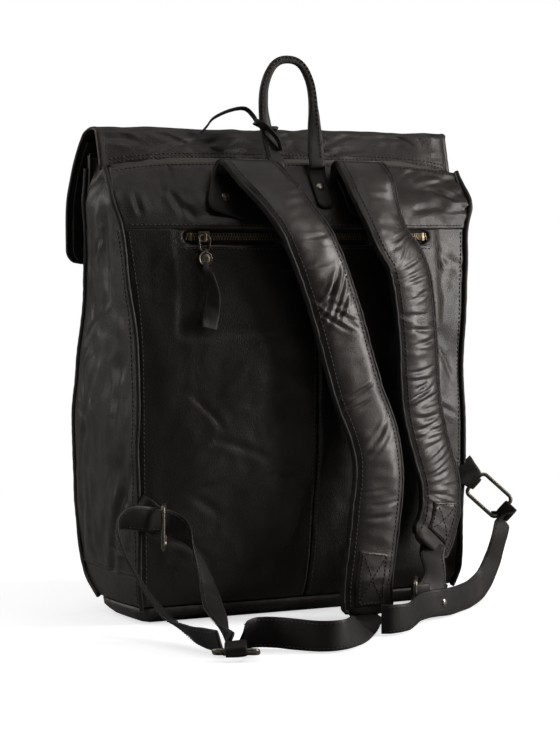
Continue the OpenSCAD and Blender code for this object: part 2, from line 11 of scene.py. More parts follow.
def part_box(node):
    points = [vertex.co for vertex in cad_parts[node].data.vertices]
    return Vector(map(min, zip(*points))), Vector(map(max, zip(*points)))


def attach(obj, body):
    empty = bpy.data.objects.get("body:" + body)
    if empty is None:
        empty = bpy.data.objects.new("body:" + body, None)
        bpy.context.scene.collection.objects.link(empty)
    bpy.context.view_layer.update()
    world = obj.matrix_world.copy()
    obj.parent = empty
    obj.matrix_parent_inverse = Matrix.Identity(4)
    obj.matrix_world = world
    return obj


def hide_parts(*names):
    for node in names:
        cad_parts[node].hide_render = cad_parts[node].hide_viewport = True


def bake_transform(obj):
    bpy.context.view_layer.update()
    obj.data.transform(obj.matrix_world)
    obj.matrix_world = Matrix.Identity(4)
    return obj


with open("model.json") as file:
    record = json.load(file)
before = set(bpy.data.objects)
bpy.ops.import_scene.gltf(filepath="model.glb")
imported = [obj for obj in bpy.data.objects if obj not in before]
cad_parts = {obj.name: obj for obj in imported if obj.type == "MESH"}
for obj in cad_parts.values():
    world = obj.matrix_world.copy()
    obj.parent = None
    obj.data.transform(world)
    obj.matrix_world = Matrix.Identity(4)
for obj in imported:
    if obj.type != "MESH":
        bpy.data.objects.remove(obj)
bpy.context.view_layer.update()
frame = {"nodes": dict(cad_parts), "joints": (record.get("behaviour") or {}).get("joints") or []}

mm = 0.001
scene = bpy.context.scene

viewSettings = {"azimuth": 152.0, "elevation": 3.295, "distance": 2.2, "lens": 114.07,
                "aim": (-0.004, 0.002, 0.216), "farClip": 60}


def makeCamera(s):
    a, e = math.radians(s["azimuth"]), math.radians(s["elevation"])
    back = Vector((math.sin(a) * math.cos(e), -math.cos(a) * math.cos(e), math.sin(e)))
    data = bpy.data.cameras.new("viewCamera")
    data.lens = s["lens"]
    data.clip_end = s["farClip"]
    camera = bpy.data.objects.new("viewCamera", data)
    camera.location = Vector(s["aim"]) + back * s["distance"]
    camera.rotation_mode = "QUATERNION"
    camera.rotation_quaternion = (-back).to_track_quat("-Z", "Y")
    scene.collection.objects.link(camera)
    scene.camera = camera


makeCamera(viewSettings)


def curveThrough(table):  # smooth curve through (x, y) pairs that never overshoots
    xs, ys = np.array(table, float).T
    slope = np.diff(ys) / np.diff(xs)
    m = np.zeros_like(ys)
    both = slope[:-1] * slope[1:] > 0
    m[1:-1][both] = (2 * slope[:-1] * slope[1:] / np.where(both, slope[:-1] + slope[1:], 1))[both]
    m[0], m[-1] = slope[0], slope[-1]

    def at(x):
        x = np.clip(x, xs[0], xs[-1])
        i = np.clip(np.searchsorted(xs, x, side="right") - 1, 0, len(xs) - 2)
        h = xs[i + 1] - xs[i]
        t = (x - xs[i]) / h
        return ((2 * t**3 - 3 * t**2 + 1) * ys[i] + (t**3 - 2 * t**2 + t) * h * m[i]
                + (3 * t**2 - 2 * t**3) * ys[i + 1] + (t**3 - t**2) * h * m[i + 1])
    return at


noiseRng = np.random.default_rng(11)
noisePerm = noiseRng.permutation(256)
noiseGrads = noiseRng.normal(size=(256, 3))
noiseGrads /= np.linalg.norm(noiseGrads, axis=1)[:, None]


def softNoise(points, size):  # gradient noise from about -0.7 to 0.7, its blobs about size metres across
    p = np.asarray(points, float) / size
    cell = np.floor(p).astype(int)
    f = p - cell
    w = f * f * f * (f * (f * 6 - 15) + 10)
    total = np.zeros(p.shape[:-1])
    for dx in (0, 1):
        for dy in (0, 1):
            for dz in (0, 1):
                h = noisePerm[(cell[..., 0] + dx) & 255]
                h = noisePerm[(h + cell[..., 1] + dy) & 255]
                h = noisePerm[(h + cell[..., 2] + dz) & 255]
                dot = ((f - np.array([dx, dy, dz])) * noiseGrads[h]).sum(-1)
                share = (w[..., 0] if dx else 1 - w[..., 0]) * (w[..., 1] if dy else 1 - w[..., 1])
                total += dot * share * (w[..., 2] if dz else 1 - w[..., 2])
    return total


def smoothStep(x, low, high):
    t = np.clip((x - low) / (high - low), 0, 1)
    return t * t * (3 - 2 * t)


def unit(v):
    return v / np.maximum(np.linalg.norm(v, axis=-1, keepdims=True), 1e-12)


def gridNormals(p, closed=False):  # normals of a grid of points, rows by columns
    across = np.roll(p, -1, 1) - np.roll(p, 1, 1) if closed else np.gradient(p, axis=1)
    return unit(np.cross(across, np.gradient(p, axis=0)))


def gridFaces(rows, cols, closed=False, keep=None):
    faces = []
    for r in range(rows - 1):
        for c in range(cols if closed else cols - 1):
            if keep is None or keep[r, c]:
                d = (c + 1) % cols
                faces.append((r * cols + c, r * cols + d, (r + 1) * cols + d, (r + 1) * cols + c))
    return faces


def addPiece(name, points, faces, body, slotName, material, replaced=()):
    mesh = bpy.data.meshes.new(name)
    mesh.from_pydata(np.asarray(points, float).reshape(-1, 3).tolist(), [], faces)
    mesh.shade_smooth()
    mesh.materials.append(material)
    piece = bpy.data.objects.new(name, mesh)
    scene.collection.objects.link(piece)
    if body:
        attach(piece, body)
    if replaced:
        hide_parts(*replaced)
    return piece


def thicken(piece, thickness, offset=-1):
    solid = piece.modifiers.new("thickness", "SOLIDIFY")
    solid.thickness = thickness
    solid.offset = offset
    return piece


def smoothRoute(points, step):
    # Even steps along a smooth curve through the points, with each step's place in the list of points
    p = np.array(points, float)
    ends = np.vstack([2 * p[0] - p[1], p, 2 * p[-1] - p[-2]])
    t = np.linspace(0, 1, 24, endpoint=False)[:, None]
    parts = []
    for i in range(len(p) - 1):
        a, b, c, d = ends[i:i + 4]
        parts.append(0.5 * (2 * b + (c - a) * t + (2 * a - 5 * b + 4 * c - d) * t**2
                            + (3 * b - a - 3 * c + d) * t**3))
    dense = np.vstack(parts + [p[-1:]])
    run = np.concatenate([[0], np.cumsum(np.linalg.norm(np.diff(dense, axis=0), axis=1))])
    at = np.linspace(0, run[-1], max(3, int(round(run[-1] / step)) + 1))
    place = np.interp(at, run, np.arange(len(dense)) / 24)
    return np.stack([np.interp(at, run, dense[:, k]) for k in range(3)], 1), at, place


def routeFrames(path, place, wide):
    # Tangent, width direction and outward normal at each step
    wide = np.array(wide, float)
    if wide.ndim == 1:
        wide = np.tile(wide, (2, 1))
        place = np.zeros_like(place)
    w = np.stack([np.interp(place, np.arange(len(wide)), wide[:, k]) for k in range(3)], 1)
    t = unit(np.gradient(path, axis=0))
    up = unit(np.cross(w, t))
    return t, np.cross(t, up), up


def courseOf(route, step, wide):  # path, run along it, width direction and outward direction of a band
    path, run, place = smoothRoute(route, step)
    t, w, up = routeFrames(path, place, wide)
    return path, run, w, up


def closedSweep(rings):  # points and faces of a sweep of closed rings, capped at both ends
    rows, cols = rings.shape[:2]
    faces = gridFaces(rows, cols, closed=True)
    faces.append(tuple(range(cols))[::-1])
    faces.append(tuple((rows - 1) * cols + k for k in range(cols)))
    return rings, faces


def tubeRings(path, radius, sides=10):
    t = unit(np.gradient(path, axis=0))
    side = unit(np.cross(t, np.array([0.31, 0.94, 0.12])))
    up = np.cross(side, t)
    angle = np.arange(sides) * 2 * math.pi / sides
    r = np.broadcast_to(np.asarray(radius, float), len(path))[:, None, None]
    return path[:, None, :] + r * (side[:, None, :] * np.cos(angle)[None, :, None]
                                   + up[:, None, :] * np.sin(angle)[None, :, None])


def joinParts(parts):  # one list of points and faces from several
    points, faces, start = [], [], 0
    for p, f in parts:
        p = np.asarray(p, float).reshape(-1, 3)
        points.append(p)
        faces += [tuple(i + start for i in face) for face in f]
        start += len(p)
    return np.vstack(points), faces


def creaseField(a, b, creases):
    # Height of creases over two surface coordinates: each crease is (a, b, angle, length, depth, width)
    total = np.zeros(np.broadcast(a, b).shape)
    for a0, b0, angle, length, depth, width in creases:
        c, s = math.cos(angle), math.sin(angle)
        along = (a - a0) * c + (b - b0) * s
        off = -(a - a0) * s + (b - b0) * c + 0.15 * along * along / length
        fade = np.exp(-(2 * along / length) ** 4)
        ridge = 0.55 * np.exp(-((np.abs(off) - 1.9 * width) / (1.3 * width)) ** 2)  # raised beside it
        total += fade * depth * (-np.exp(-(off / width) ** 2) + ridge)
    return total


def newGroup(name, inputs, outputs):  # three numbers make a vector input
    group = bpy.data.node_groups.new(name, "ShaderNodeTree")
    for label, value in inputs.items():
        kind = "NodeSocketVector" if isinstance(value, tuple) else "NodeSocketFloat"
        group.interface.new_socket(label, in_out="INPUT", socket_type=kind).default_value = value
    for label in outputs:
        group.interface.new_socket(label, in_out="OUTPUT", socket_type="NodeSocketFloat")
    return group, group.nodes.new("NodeGroupInput"), group.nodes.new("NodeGroupOutput")


def setSockets(tree, node, sources):  # links what comes from another node, sets what doesn't
    for socket, source in sources.items():
        if isinstance(source, bpy.types.NodeSocket):
            tree.links.new(source, node.inputs[socket])
        else:
            node.inputs[socket].default_value = source


def addNode(tree, kind, sources=None, **values):
    node = tree.nodes.new(kind)
    for key, value in values.items():
        setattr(node, key, value)
    setSockets(tree, node, sources or {})
    return node


def mathNode(tree, operation, a, b):
    return addNode(tree, "ShaderNodeMath", {0: a, 1: b}, operation=operation).outputs[0]


def vectorNode(tree, operation, sources):
    return addNode(tree, "ShaderNodeVectorMath", sources, operation=operation).outputs[0]


def rangeNode(tree, value, low, high, toLow, toHigh):
    links = {"Value": value, "From Min": low, "From Max": high, "To Min": toLow, "To Max": toHigh}
    return addNode(tree, "ShaderNodeMapRange", links, interpolation_type="SMOOTHSTEP").outputs[0]


def noiseNode(tree, place, scale, detail, roughness=0.5):
    links = {"Vector": place, "Scale": scale, "Detail": detail, "Roughness": roughness}
    return addNode(tree, "ShaderNodeTexNoise", links).outputs["Fac"]


def warpedPlace(tree, size, amount):  # object coordinates pushed about by noise
    place = addNode(tree, "ShaderNodeTexCoord").outputs["Object"]
    noise = addNode(tree, "ShaderNodeTexNoise", {"Vector": place, "Scale": size, "Detail": 2.0})
    centred = vectorNode(tree, "SUBTRACT", {0: noise.outputs["Color"], 1: (0.5, 0.5, 0.5)})
    pushed = vectorNode(tree, "SCALE", {0: centred, "Scale": amount})
    return vectorNode(tree, "ADD", {0: place, 1: pushed})


def makeGrainGroup():  # pebbled grain with fine pores
    g, inp, out = newGroup("leatherGrain", {"Cell Scale": 520.0, "Pore Share": 0.3}, ("Height", "Valley"))
    place = warpedPlace(g, 240.0, 0.0016)
    cells = addNode(g, "ShaderNodeTexVoronoi", {"Vector": place, "Scale": inp.outputs["Cell Scale"]},
                    feature="DISTANCE_TO_EDGE")
    pebble = rangeNode(g, cells.outputs["Distance"], 0.0, 0.32, 0.0, 1.0)
    pores = noiseNode(g, place, 1900.0, 3.0)
    mixed = addNode(g, "ShaderNodeMix", {0: inp.outputs["Pore Share"], 2: pebble, 3: pores})
    g.links.new(mixed.outputs[0], out.inputs["Height"])
    g.links.new(mathNode(g, "SUBTRACT", 1.0, pebble), out.inputs["Valley"])
    return g


def makeCreaseGroup():  # a net of fine creases that comes and goes
    inputs = {"Net Scale": 90.0, "Stretch": (1, 1, 1), "Patches": 12.0}
    g, inp, out = newGroup("fineCreases", inputs, ("Line", "Height"))
    place = warpedPlace(g, 55.0, 0.012)
    stretched = vectorNode(g, "MULTIPLY", {0: place, 1: inp.outputs["Stretch"]})
    net = addNode(g, "ShaderNodeTexVoronoi", {"Vector": stretched, "Scale": inp.outputs["Net Scale"]},
                  feature="DISTANCE_TO_EDGE")
    line = rangeNode(g, net.outputs["Distance"], 0.0, 0.09, 1.0, 0.0)
    patches = noiseNode(g, place, inp.outputs["Patches"], 2.0)
    shown = rangeNode(g, patches, 0.45, 0.62, 0.0, 1.0)
    both = mathNode(g, "MULTIPLY", line, shown)
    g.links.new(both, out.inputs["Line"])
    g.links.new(mathNode(g, "SUBTRACT", 1.0, both), out.inputs["Height"])
    return g


def makePatinaGroup():  # cloudy wash of the dye, and rubbed places
    inputs = {"Cloud Scale": 9.0, "Rub Low": 0.5, "Rub High": 0.62}
    g, inp, out = newGroup("washedPatina", inputs, ("Cloud", "Rubbed"))
    place = warpedPlace(g, 14.0, 0.03)
    cloud = noiseNode(g, place, inp.outputs["Cloud Scale"], 5.0, 0.6)
    speck = noiseNode(g, place, 75.0, 4.0, 0.65)
    mixed = mathNode(g, "ADD", mathNode(g, "MULTIPLY", cloud, 0.72), mathNode(g, "MULTIPLY", speck, 0.28))
    g.links.new(rangeNode(g, mixed, 0.33, 0.66, 0.0, 1.0), out.inputs["Cloud"])
    worn = addNode(g, "ShaderNodeNewGeometry").outputs["Pointiness"]
    rubbed = rangeNode(g, worn, inp.outputs["Rub Low"], inp.outputs["Rub High"], 0.0, 1.0)
    g.links.new(mathNode(g, "MULTIPLY", rubbed, rangeNode(g, speck, 0.35, 0.6, 0.25, 1.0)),
                out.inputs["Rubbed"])
    return g


grainGroup, creaseGroup, patinaGroup = makeGrainGroup(), makeCreaseGroup(), makePatinaGroup()


def bumpNode(tree, strength, distance, height, normal=None):
    bump = addNode(tree, "ShaderNodeBump", {"Strength": strength, "Distance": distance, "Height": height})
    if normal:
        tree.links.new(normal, bump.inputs["Normal"])
    return bump.outputs["Normal"]


def useGroup(tree, group, **values):
    node = tree.nodes.new("ShaderNodeGroup")
    node.node_tree = group
    for label, value in values.items():
        node.inputs[label.replace("_", " ")].default_value = value
    return node


def startMaterial(name):
    material = bpy.data.materials.new(name)
    material.use_nodes = True
    tree = material.node_tree
    return material, tree, tree.nodes["Principled BSDF"]


def mixColour(tree, factor, a, b):
    node = addNode(tree, "ShaderNodeMix", {0: factor}, data_type="RGBA")
    for index, value in ((6, a), (7, b)):
        if isinstance(value, bpy.types.NodeSocket):
            tree.links.new(value, node.inputs[index])
        else:
            node.inputs[index].default_value = (*value, 1)
    return node.outputs[2]


leatherLooks = {
    "bodyHide": {"dark": (0.0042, 0.0038, 0.0031), "light": (0.0150, 0.0120, 0.0094),
                 "rub": (0.045, 0.038, 0.032), "rough": (0.27, 0.50), "cell": 520.0, "grain": 0.00016,
                 "net": 70.0, "stretch": (1, 1, 0.8), "crease": 0.00003, "line": 0.05, "cloud": 9.0,
                 "coat": 0.15},
    "strapHide": {"dark": (0.0062, 0.0054, 0.0047), "light": (0.0230, 0.0188, 0.0160),
                  "rub": (0.07, 0.060, 0.052), "rough": (0.26, 0.44), "cell": 640.0, "grain": 0.00011,
                  "net": 85.0, "stretch": (0.75, 0.75, 1.6), "crease": 0.00003, "line": 0.05, "cloud": 16.0,
                  "coat": 0.2},
    "beltHide": {"dark": (0.0032, 0.0030, 0.0030), "light": (0.0078, 0.0070, 0.0067),
                 "rub": (0.03, 0.027, 0.025), "rough": (0.42, 0.58), "cell": 900.0, "grain": 0.00010,
                 "net": 120.0, "stretch": (1, 1, 1), "crease": 0.00008, "line": 0.15, "cloud": 26.0,
                 "coat": 0.05},
    "cordHide": {"dark": (0.0036, 0.0033, 0.0032), "light": (0.0100, 0.0088, 0.0084),
                 "rub": (0.04, 0.036, 0.033), "rough": (0.4, 0.56), "cell": 1000.0, "grain": 0.00012,
                 "net": 230.0, "stretch": (1, 1, 0.6), "crease": 0.0002, "line": 0.3, "cloud": 40.0,
                 "coat": 0.08},
    "underHide": {"dark": (0.006, 0.0054, 0.005), "light": (0.014, 0.0125, 0.011),
                  "rub": (0.03, 0.027, 0.024), "rough": (0.62, 0.8), "cell": 1300.0, "grain": 0.00012,
                  "net": 60.0, "stretch": (1, 1, 1), "crease": 0.00005, "line": 0.1, "cloud": 14.0,
                  "coat": 0.0},
}


def makeLeather(name, s):
    material, tree, shader = startMaterial(name)
    grain = useGroup(tree, grainGroup, Cell_Scale=s["cell"])
    crease = useGroup(tree, creaseGroup, Net_Scale=s["net"], Stretch=s["stretch"])
    patina = useGroup(tree, patinaGroup, Cloud_Scale=s["cloud"])
    base = mixColour(tree, patina.outputs["Cloud"], s["dark"], s["light"])
    base = mixColour(tree, mathNode(tree, "MULTIPLY", grain.outputs["Valley"], 0.35), base, s["dark"])
    base = mixColour(tree, mathNode(tree, "MULTIPLY", crease.outputs["Line"], s["line"]), base, s["dark"])
    base = mixColour(tree, patina.outputs["Rubbed"], base, s["rub"])
    rough = rangeNode(tree, patina.outputs["Cloud"], 0.0, 1.0, s["rough"][1], s["rough"][0])
    rough = mathNode(tree, "ADD", rough, mathNode(tree, "MULTIPLY", grain.outputs["Valley"], 0.12))
    creaseBump = bumpNode(tree, 1.0, s["crease"], crease.outputs["Height"])
    setSockets(tree, shader, {
        "Base Color": base,
        "Roughness": rough,
        "Specular IOR Level": 0.4,
        "Specular Tint": (1.0, 0.90, 0.85, 1),
        "Coat Tint": (1.0, 0.95, 0.92, 1),
        "Coat Weight": s["coat"],
        "Coat Roughness": 0.22,
        "Normal": bumpNode(tree, 0.9, s["grain"], grain.outputs["Height"], creaseBump),
    })
    return material


def makeMetal(name, dark, light, rough):
    material, tree, shader = startMaterial(name)
    patina = useGroup(tree, patinaGroup, Cloud_Scale=160.0, Rub_Low=0.49, Rub_High=0.56)
    colour = mixColour(tree, patina.outputs["Cloud"], dark, light)
    rubbed = mathNode(tree, "MULTIPLY", patina.outputs["Rubbed"], 0.7)
    scratches = noiseNode(tree, addNode(tree, "ShaderNodeTexCoord").outputs["Object"], 900.0, 3.0)
    setSockets(tree, shader, {
        "Base Color": mixColour(tree, rubbed, colour, tuple(min(1, c * 1.5) for c in light)),
        "Metallic": 1.0,
        "Roughness": rangeNode(tree, patina.outputs["Cloud"], 0.0, 1.0, rough + 0.16, rough),
        "Normal": bumpNode(tree, 0.5, 0.00008, scratches),
    })
    return material


def makeCloth(name, dark, light, threads):  # plain weave
    material, tree, shader = startMaterial(name)
    place = addNode(tree, "ShaderNodeTexCoord").outputs["Object"]
    bands = {"Vector": place, "Scale": threads, "Distortion": 1.2, "Detail": 1.0}
    waves = [addNode(tree, "ShaderNodeTexWave", bands, bands_direction=d).outputs["Fac"]
             for d in ("X", "Z")]
    weave = mathNode(tree, "MAXIMUM", *waves)
    patina = useGroup(tree, patinaGroup, Cloud_Scale=30.0)
    faded = mathNode(tree, "MULTIPLY", patina.outputs["Cloud"], 0.4)
    setSockets(tree, shader, {
        "Base Color": mixColour(tree, faded, mixColour(tree, weave, dark, light), dark),
        "Roughness": 0.85,
        "Sheen Weight": 0.2,
        "Normal": bumpNode(tree, 0.8, 0.0002, weave),
    })
    return material


def makeThread(name):  # waxed thread
    material, tree, shader = startMaterial(name)
    place = addNode(tree, "ShaderNodeTexCoord").outputs["Object"]
    noise = noiseNode(tree, place, 700.0, 2.0)
    setSockets(tree, shader, {
        "Base Color": mixColour(tree, noise, (0.016, 0.014, 0.013), (0.055, 0.046, 0.041)),
        "Roughness": rangeNode(tree, noise, 0.3, 0.7, 0.4, 0.65),
    })
    return material


bodyHide, strapHide, beltHide, cordHide, underHide = (makeLeather(n, s) for n, s in leatherLooks.items())
nickel = makeMetal("antiqueNickel", (0.060, 0.052, 0.042), (0.27, 0.24, 0.19), 0.26)
brass = makeMetal("antiqueBrass", (0.055, 0.042, 0.025), (0.25, 0.195, 0.12), 0.3)
liningCloth = makeCloth("liningCloth", (0.05, 0.042, 0.034), (0.11, 0.092, 0.072), 900.0)
zipCloth = makeCloth("zipCloth", (0.006, 0.006, 0.006), (0.018, 0.017, 0.016), 1100.0)
thread = makeThread("waxedThread")
print("materials made")

ridgeBox, backBox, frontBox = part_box("ridge_strip"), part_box("back_panel_right"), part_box("front_panel")
# The lists pair a share of the height with a share of the size, or with millimetres of bulge
bodyShape = {
    "height": ridgeBox[1].z,
    "width": 2 * ridgeBox[1].x / 1.10,
    "depth": 0.746 * (backBox[1].y - frontBox[0].y),
    "widths": [(0, 0.90), (0.03, 0.955), (0.08, 0.985), (0.14, 0.99), (0.40, 1), (0.57, 1.005),
               (0.80, 1.055), (0.86, 1.08), (0.92, 1.085), (1, 1.10)],
    "backDepths": [(0, 0.30), (0.03, 0.40), (0.08, 0.45), (0.14, 0.46), (0.40, 0.46), (0.57, 0.445),
                   (0.80, 0.37), (0.85, 0.32), (0.91, 0.21), (0.955, 0.12), (1, 0.045)],
    "frontDepths": [(0, 0.21), (0.03, 0.31), (0.08, 0.46), (0.14, 0.53), (0.25, 0.58), (0.38, 0.60),
                    (0.50, 0.52), (0.59, 0.42), (0.68, 0.34), (0.80, 0.22), (0.91, 0.12), (1, 0.09)],
    "backBulges": [(0, 1), (0.03, 3), (0.14, 10), (0.40, 22), (0.57, 24), (0.80, 18), (0.91, 12),
                   (0.955, 8), (1, 2)],
    "frontBulges": [(0, 1), (0.03, 2), (0.14, 8), (0.40, 14), (0.68, 16), (0.80, 16), (0.91, 8), (1, 0)],
    "sideBulges": [(0, 1), (0.08, 4), (0.25, 10), (0.40, 12), (0.59, 9), (0.80, 5), (0.91, 2), (1, 0)],
    "leather": 2.2 * mm,
}
height = bodyShape["height"]


def profile(key, scale):  # one of the body's profiles, as a function of height
    curve = curveThrough(bodyShape[key])
    return lambda z: scale * curve(z / height)


halfWidth = profile("widths", bodyShape["width"] / 2)
backDepth = profile("backDepths", bodyShape["depth"])
frontDepth = profile("frontDepths", bodyShape["depth"])
backBulge = profile("backBulges", mm)
frontBulge = profile("frontBulges", mm)
sideBulge = profile("sideBulges", mm)

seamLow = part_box("base_panel")[1].z           # base to the walls
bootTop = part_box("side_boot_right")[1].z      # boots to the gussets
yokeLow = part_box("back_yoke")[0].z            # back panels to the yoke
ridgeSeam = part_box("back_yoke")[1].z          # yoke to the ridge
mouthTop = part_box("front_panel")[1].z
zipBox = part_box("zip_tape")
zipZ = (zipBox[0].z + zipBox[1].z) / 2
windowHalf = 7 * mm
windowBox = {"low": zipZ - windowHalf, "high": zipZ + windowHalf, "xMin": zipBox[0].x, "xMax": zipBox[1].x}


def backPoint(x, z):
    return np.stack([x, backDepth(z) + backBulge(z) * (1 - (x / halfWidth(z)) ** 2), z + 0 * x], -1)


def frontPoint(x, z):
    return np.stack([x, -frontDepth(z) - frontBulge(z) * (1 - (x / halfWidth(z)) ** 2), z + 0 * x], -1)


def sidePoint(side, s, z):  # s runs from the front seam at -1 to the back seam at 1
    mid, reach = (backDepth(z) - frontDepth(z)) / 2, (backDepth(z) + frontDepth(z)) / 2
    return np.stack([side * (halfWidth(z) + sideBulge(z) * (1 - s * s)), mid + s * reach, z + 0 * s], -1)


def sag(p):
    # Slow waves of the whole stuffed bag, still at the floor and round the zip, with a puff at one shoulder
    calm = 1 - np.exp(-((p[..., 2] - zipZ) / (24 * mm)) ** 2) * smoothStep(p[..., 1], 0, 30 * mm)
    amount = smoothStep(p[..., 2], 4 * mm, 70 * mm) * calm
    push = np.stack([softNoise(p + k * 3.7, 0.105) for k in range(3)], -1) * np.array([3.5, 4.5, 3.0]) * mm
    ripple = np.stack([softNoise(p + 9 + k * 2.1, 0.045) for k in range(3)], -1)
    push += ripple * np.array([1.6, 1.8, 1.2]) * mm
    puff = np.exp(-((p[..., 2] - 0.372) / 0.020) ** 2) * smoothStep(-p[..., 0], 0.10, 0.175)
    push[..., 0] -= 5.5 * mm * puff
    push[..., 1] += 3.0 * mm * puff * smoothStep(p[..., 1], -20 * mm, 20 * mm)
    return p + push * amount[..., None]


def roll(distance, radius):  # how far leather turns in towards a seam
    d = np.clip(distance, 0, radius)
    return radius - np.sqrt(np.maximum(radius**2 - (radius - d) ** 2, 0))


def edgeDistances(p):
    # Distance of each grid point from the grid's left, right, lower and upper edges, along the surface
    across = np.cumsum(np.linalg.norm(np.diff(p, axis=1), axis=2), 1)
    upwards = np.cumsum(np.linalg.norm(np.diff(p, axis=0), axis=2), 0)
    runU = np.concatenate([np.zeros((len(p), 1)), across], 1)
    runV = np.concatenate([np.zeros((1, p.shape[1])), upwards], 0)
    return runU, runU[:, -1:] - runU, runV, runV[-1:] - runV


def sewnPanel(name, points, outward, rolls, material, body="bag", slotName="hide", replaced=(), keep=None,
              extra=None, pucker=0.45 * mm, dent=1.0, thickness=None, limit=None):
    # A leather panel from a grid of points: sagged, dented, puckered along its seams and turned in at them.
    # rolls gives the seam radius of the left, right, lower and upper edges; None leaves an edge as it is
    p = sag(points)
    n = gridNormals(p)
    flip = (n * np.asarray(outward)).sum(-1).mean() < 0
    if flip:
        n = -n
    edges = edgeDistances(p)
    shift = np.zeros(p.shape[:2])
    nearest = np.full(p.shape[:2], 1.0)
    for d, radius in zip(edges, rolls):
        if radius:
            shift -= roll(d, radius * mm)
            nearest = np.minimum(nearest, d)
    q = p * np.array([1.0, 1.0, 0.85])
    folds = (softNoise(q + 5, 0.034) * 1.9 * mm + (0.25 - np.abs(softNoise(q + 1, 0.022))) * 1.3 * mm
             + softNoise(q + 4, 0.012) * 0.35 * mm)
    shift += dent * folds * smoothStep(nearest, 2 * mm, 25 * mm)
    waves = (0.3 - np.abs(softNoise(p, 0.0085))) * np.exp(-nearest / (7 * mm))
    shift += pucker * 2.0 * waves * smoothStep(nearest, 0, 2.5 * mm)
    if extra is not None:
        shift += extra(p, edges)
    p = p + n * shift[..., None]
    if limit is not None:
        p[..., 1] = np.minimum(p[..., 1], limit(p))
    rows, cols = p.shape[:2]
    faces = gridFaces(rows, cols, keep=keep)
    if flip:
        faces = [f[::-1] for f in faces]
    piece = addPiece(name, p, faces, body, slotName, material, replaced)
    if keep is not None:
        tidyMesh(piece)
    return thicken(piece, thickness or bodyShape["leather"])


def tidyMesh(piece):  # drops points that no face uses
    b = bmesh.new()
    b.from_mesh(piece.data)
    bmesh.ops.delete(b, geom=[v for v in b.verts if not v.link_faces], context="VERTS")
    b.to_mesh(piece.data)
    b.free()


gridStep = 2.2 * mm


def steps(low, high, *through):  # even steps that pass through given values
    marks = [low, *sorted(t for t in through if low < t < high), high]
    counts = [max(2, int(round((b - a) / gridStep)) + 1) for a, b in zip(marks, marks[1:])]
    parts = [np.linspace(a, b, n)[:-1] for a, b, n in zip(marks, marks[1:], counts)]
    return np.concatenate(parts + [[high]])


bodyRng = np.random.default_rng(5)


def randomCreases(rng, count, aRange, bRange, angles, lengths, depth, width):
    return [(rng.uniform(*aRange), rng.uniform(*bRange), rng.uniform(*angles), rng.uniform(*lengths),
             depth * rng.uniform(0.5, 1.2), width * rng.uniform(0.7, 1.3)) for _ in range(count)]


backCreases = randomCreases(bodyRng, 10, (-0.16, -0.10), (0.18, 0.33), (0.3, 1.2), (0.02, 0.05), 0.9 * mm,
                            2.6 * mm)
backCreases += randomCreases(bodyRng, 8, (0.03, 0.15), (0.05, 0.2), (-0.6, 0.9), (0.03, 0.06), 0.7 * mm,
                             3 * mm)
yokeCreases = randomCreases(bodyRng, 6, (0.10, 0.17), (0.357, 0.40), (0.9, 1.6), (0.012, 0.03), 0.9 * mm,
                            2.4 * mm)
yokeCreases += randomCreases(bodyRng, 9, (-0.18, -0.11), (0.358, 0.405), (-0.7, 0.4), (0.02, 0.05),
                             1.3 * mm, 2.6 * mm)


def zipPath(p):
    # How far out the back may stand: the pull slides past it
    x, z = p[..., 0], p[..., 2]
    path = smoothStep(z, 0.225, 0.262) * smoothStep(-np.abs(x + 5 * mm), -0.160, -0.132)
    return backPoint(x, z)[..., 1] + (9 - 9.9 * path) * mm


def backPanels():
    for side, name, end in ((1, "right", windowBox["xMax"]), (-1, "left", windowBox["xMin"])):
        z = steps(seamLow, yokeLow, windowBox["low"], windowBox["high"])
        share = abs(end) / float(halfWidth(zipZ))
        full = float(halfWidth(0.2))
        q = steps(0, full, share * full) / full
        qq, zz = np.meshgrid(q, z)
        x = qq * halfWidth(zz)
        # The window's end is round
        inside = np.clip(1 - ((zz - zipZ) / windowHalf) ** 2, 0, 1)
        band = (zz > windowBox["low"] - 1e-6) & (zz < windowBox["high"] + 1e-6)
        near = np.clip(1 - np.abs(x - share * halfWidth(zz)) / (2 * windowHalf), 0, 1)
        pull = windowHalf * (1 - np.sqrt(inside)) * near
        x = side * (x - np.where(band, pull, 0))
        centreZ = (zz[:-1, :-1] + zz[1:, 1:]) / 2
        centreQ = np.abs((qq[:-1, :-1] + qq[1:, 1:]) / 2)
        hole = (centreZ > windowBox["low"]) & (centreZ < windowBox["high"]) & (centreQ < share)

        def nearZip(p, edges, share=share):
            dz = np.maximum(np.abs(p[..., 2] - zipZ) - windowHalf, 0)
            dx = np.maximum(np.abs(p[..., 0]) - share * halfWidth(p[..., 2]), 0)
            d = np.hypot(dz, dx)
            lip = -roll(d, 2.2 * mm) + 0.5 * mm * np.exp(-((d - 4 * mm) / (2.5 * mm)) ** 2)
            pocket = 0.7 * mm * smoothStep(-np.abs(p[..., 2] - 0.27), -0.075, -0.06)
            pocket = pocket * smoothStep(-np.abs(p[..., 0]), -0.13, -0.12)
            return lip + pocket + creaseField(p[..., 0], p[..., 2], backCreases)

        sewnPanel("backPanel_" + name, backPoint(x, zz), (0, 1, 0), (2.2, 3.0, 3.0, 0.8), bodyHide,
                  replaced=("back_panel_" + name,), keep=~hole, extra=nearZip, limit=zipPath)


def yokeTop(x):  # the ridge seam drops at both ends
    return ridgeSeam - 9 * mm * np.abs(x / halfWidth(ridgeSeam)) ** 5


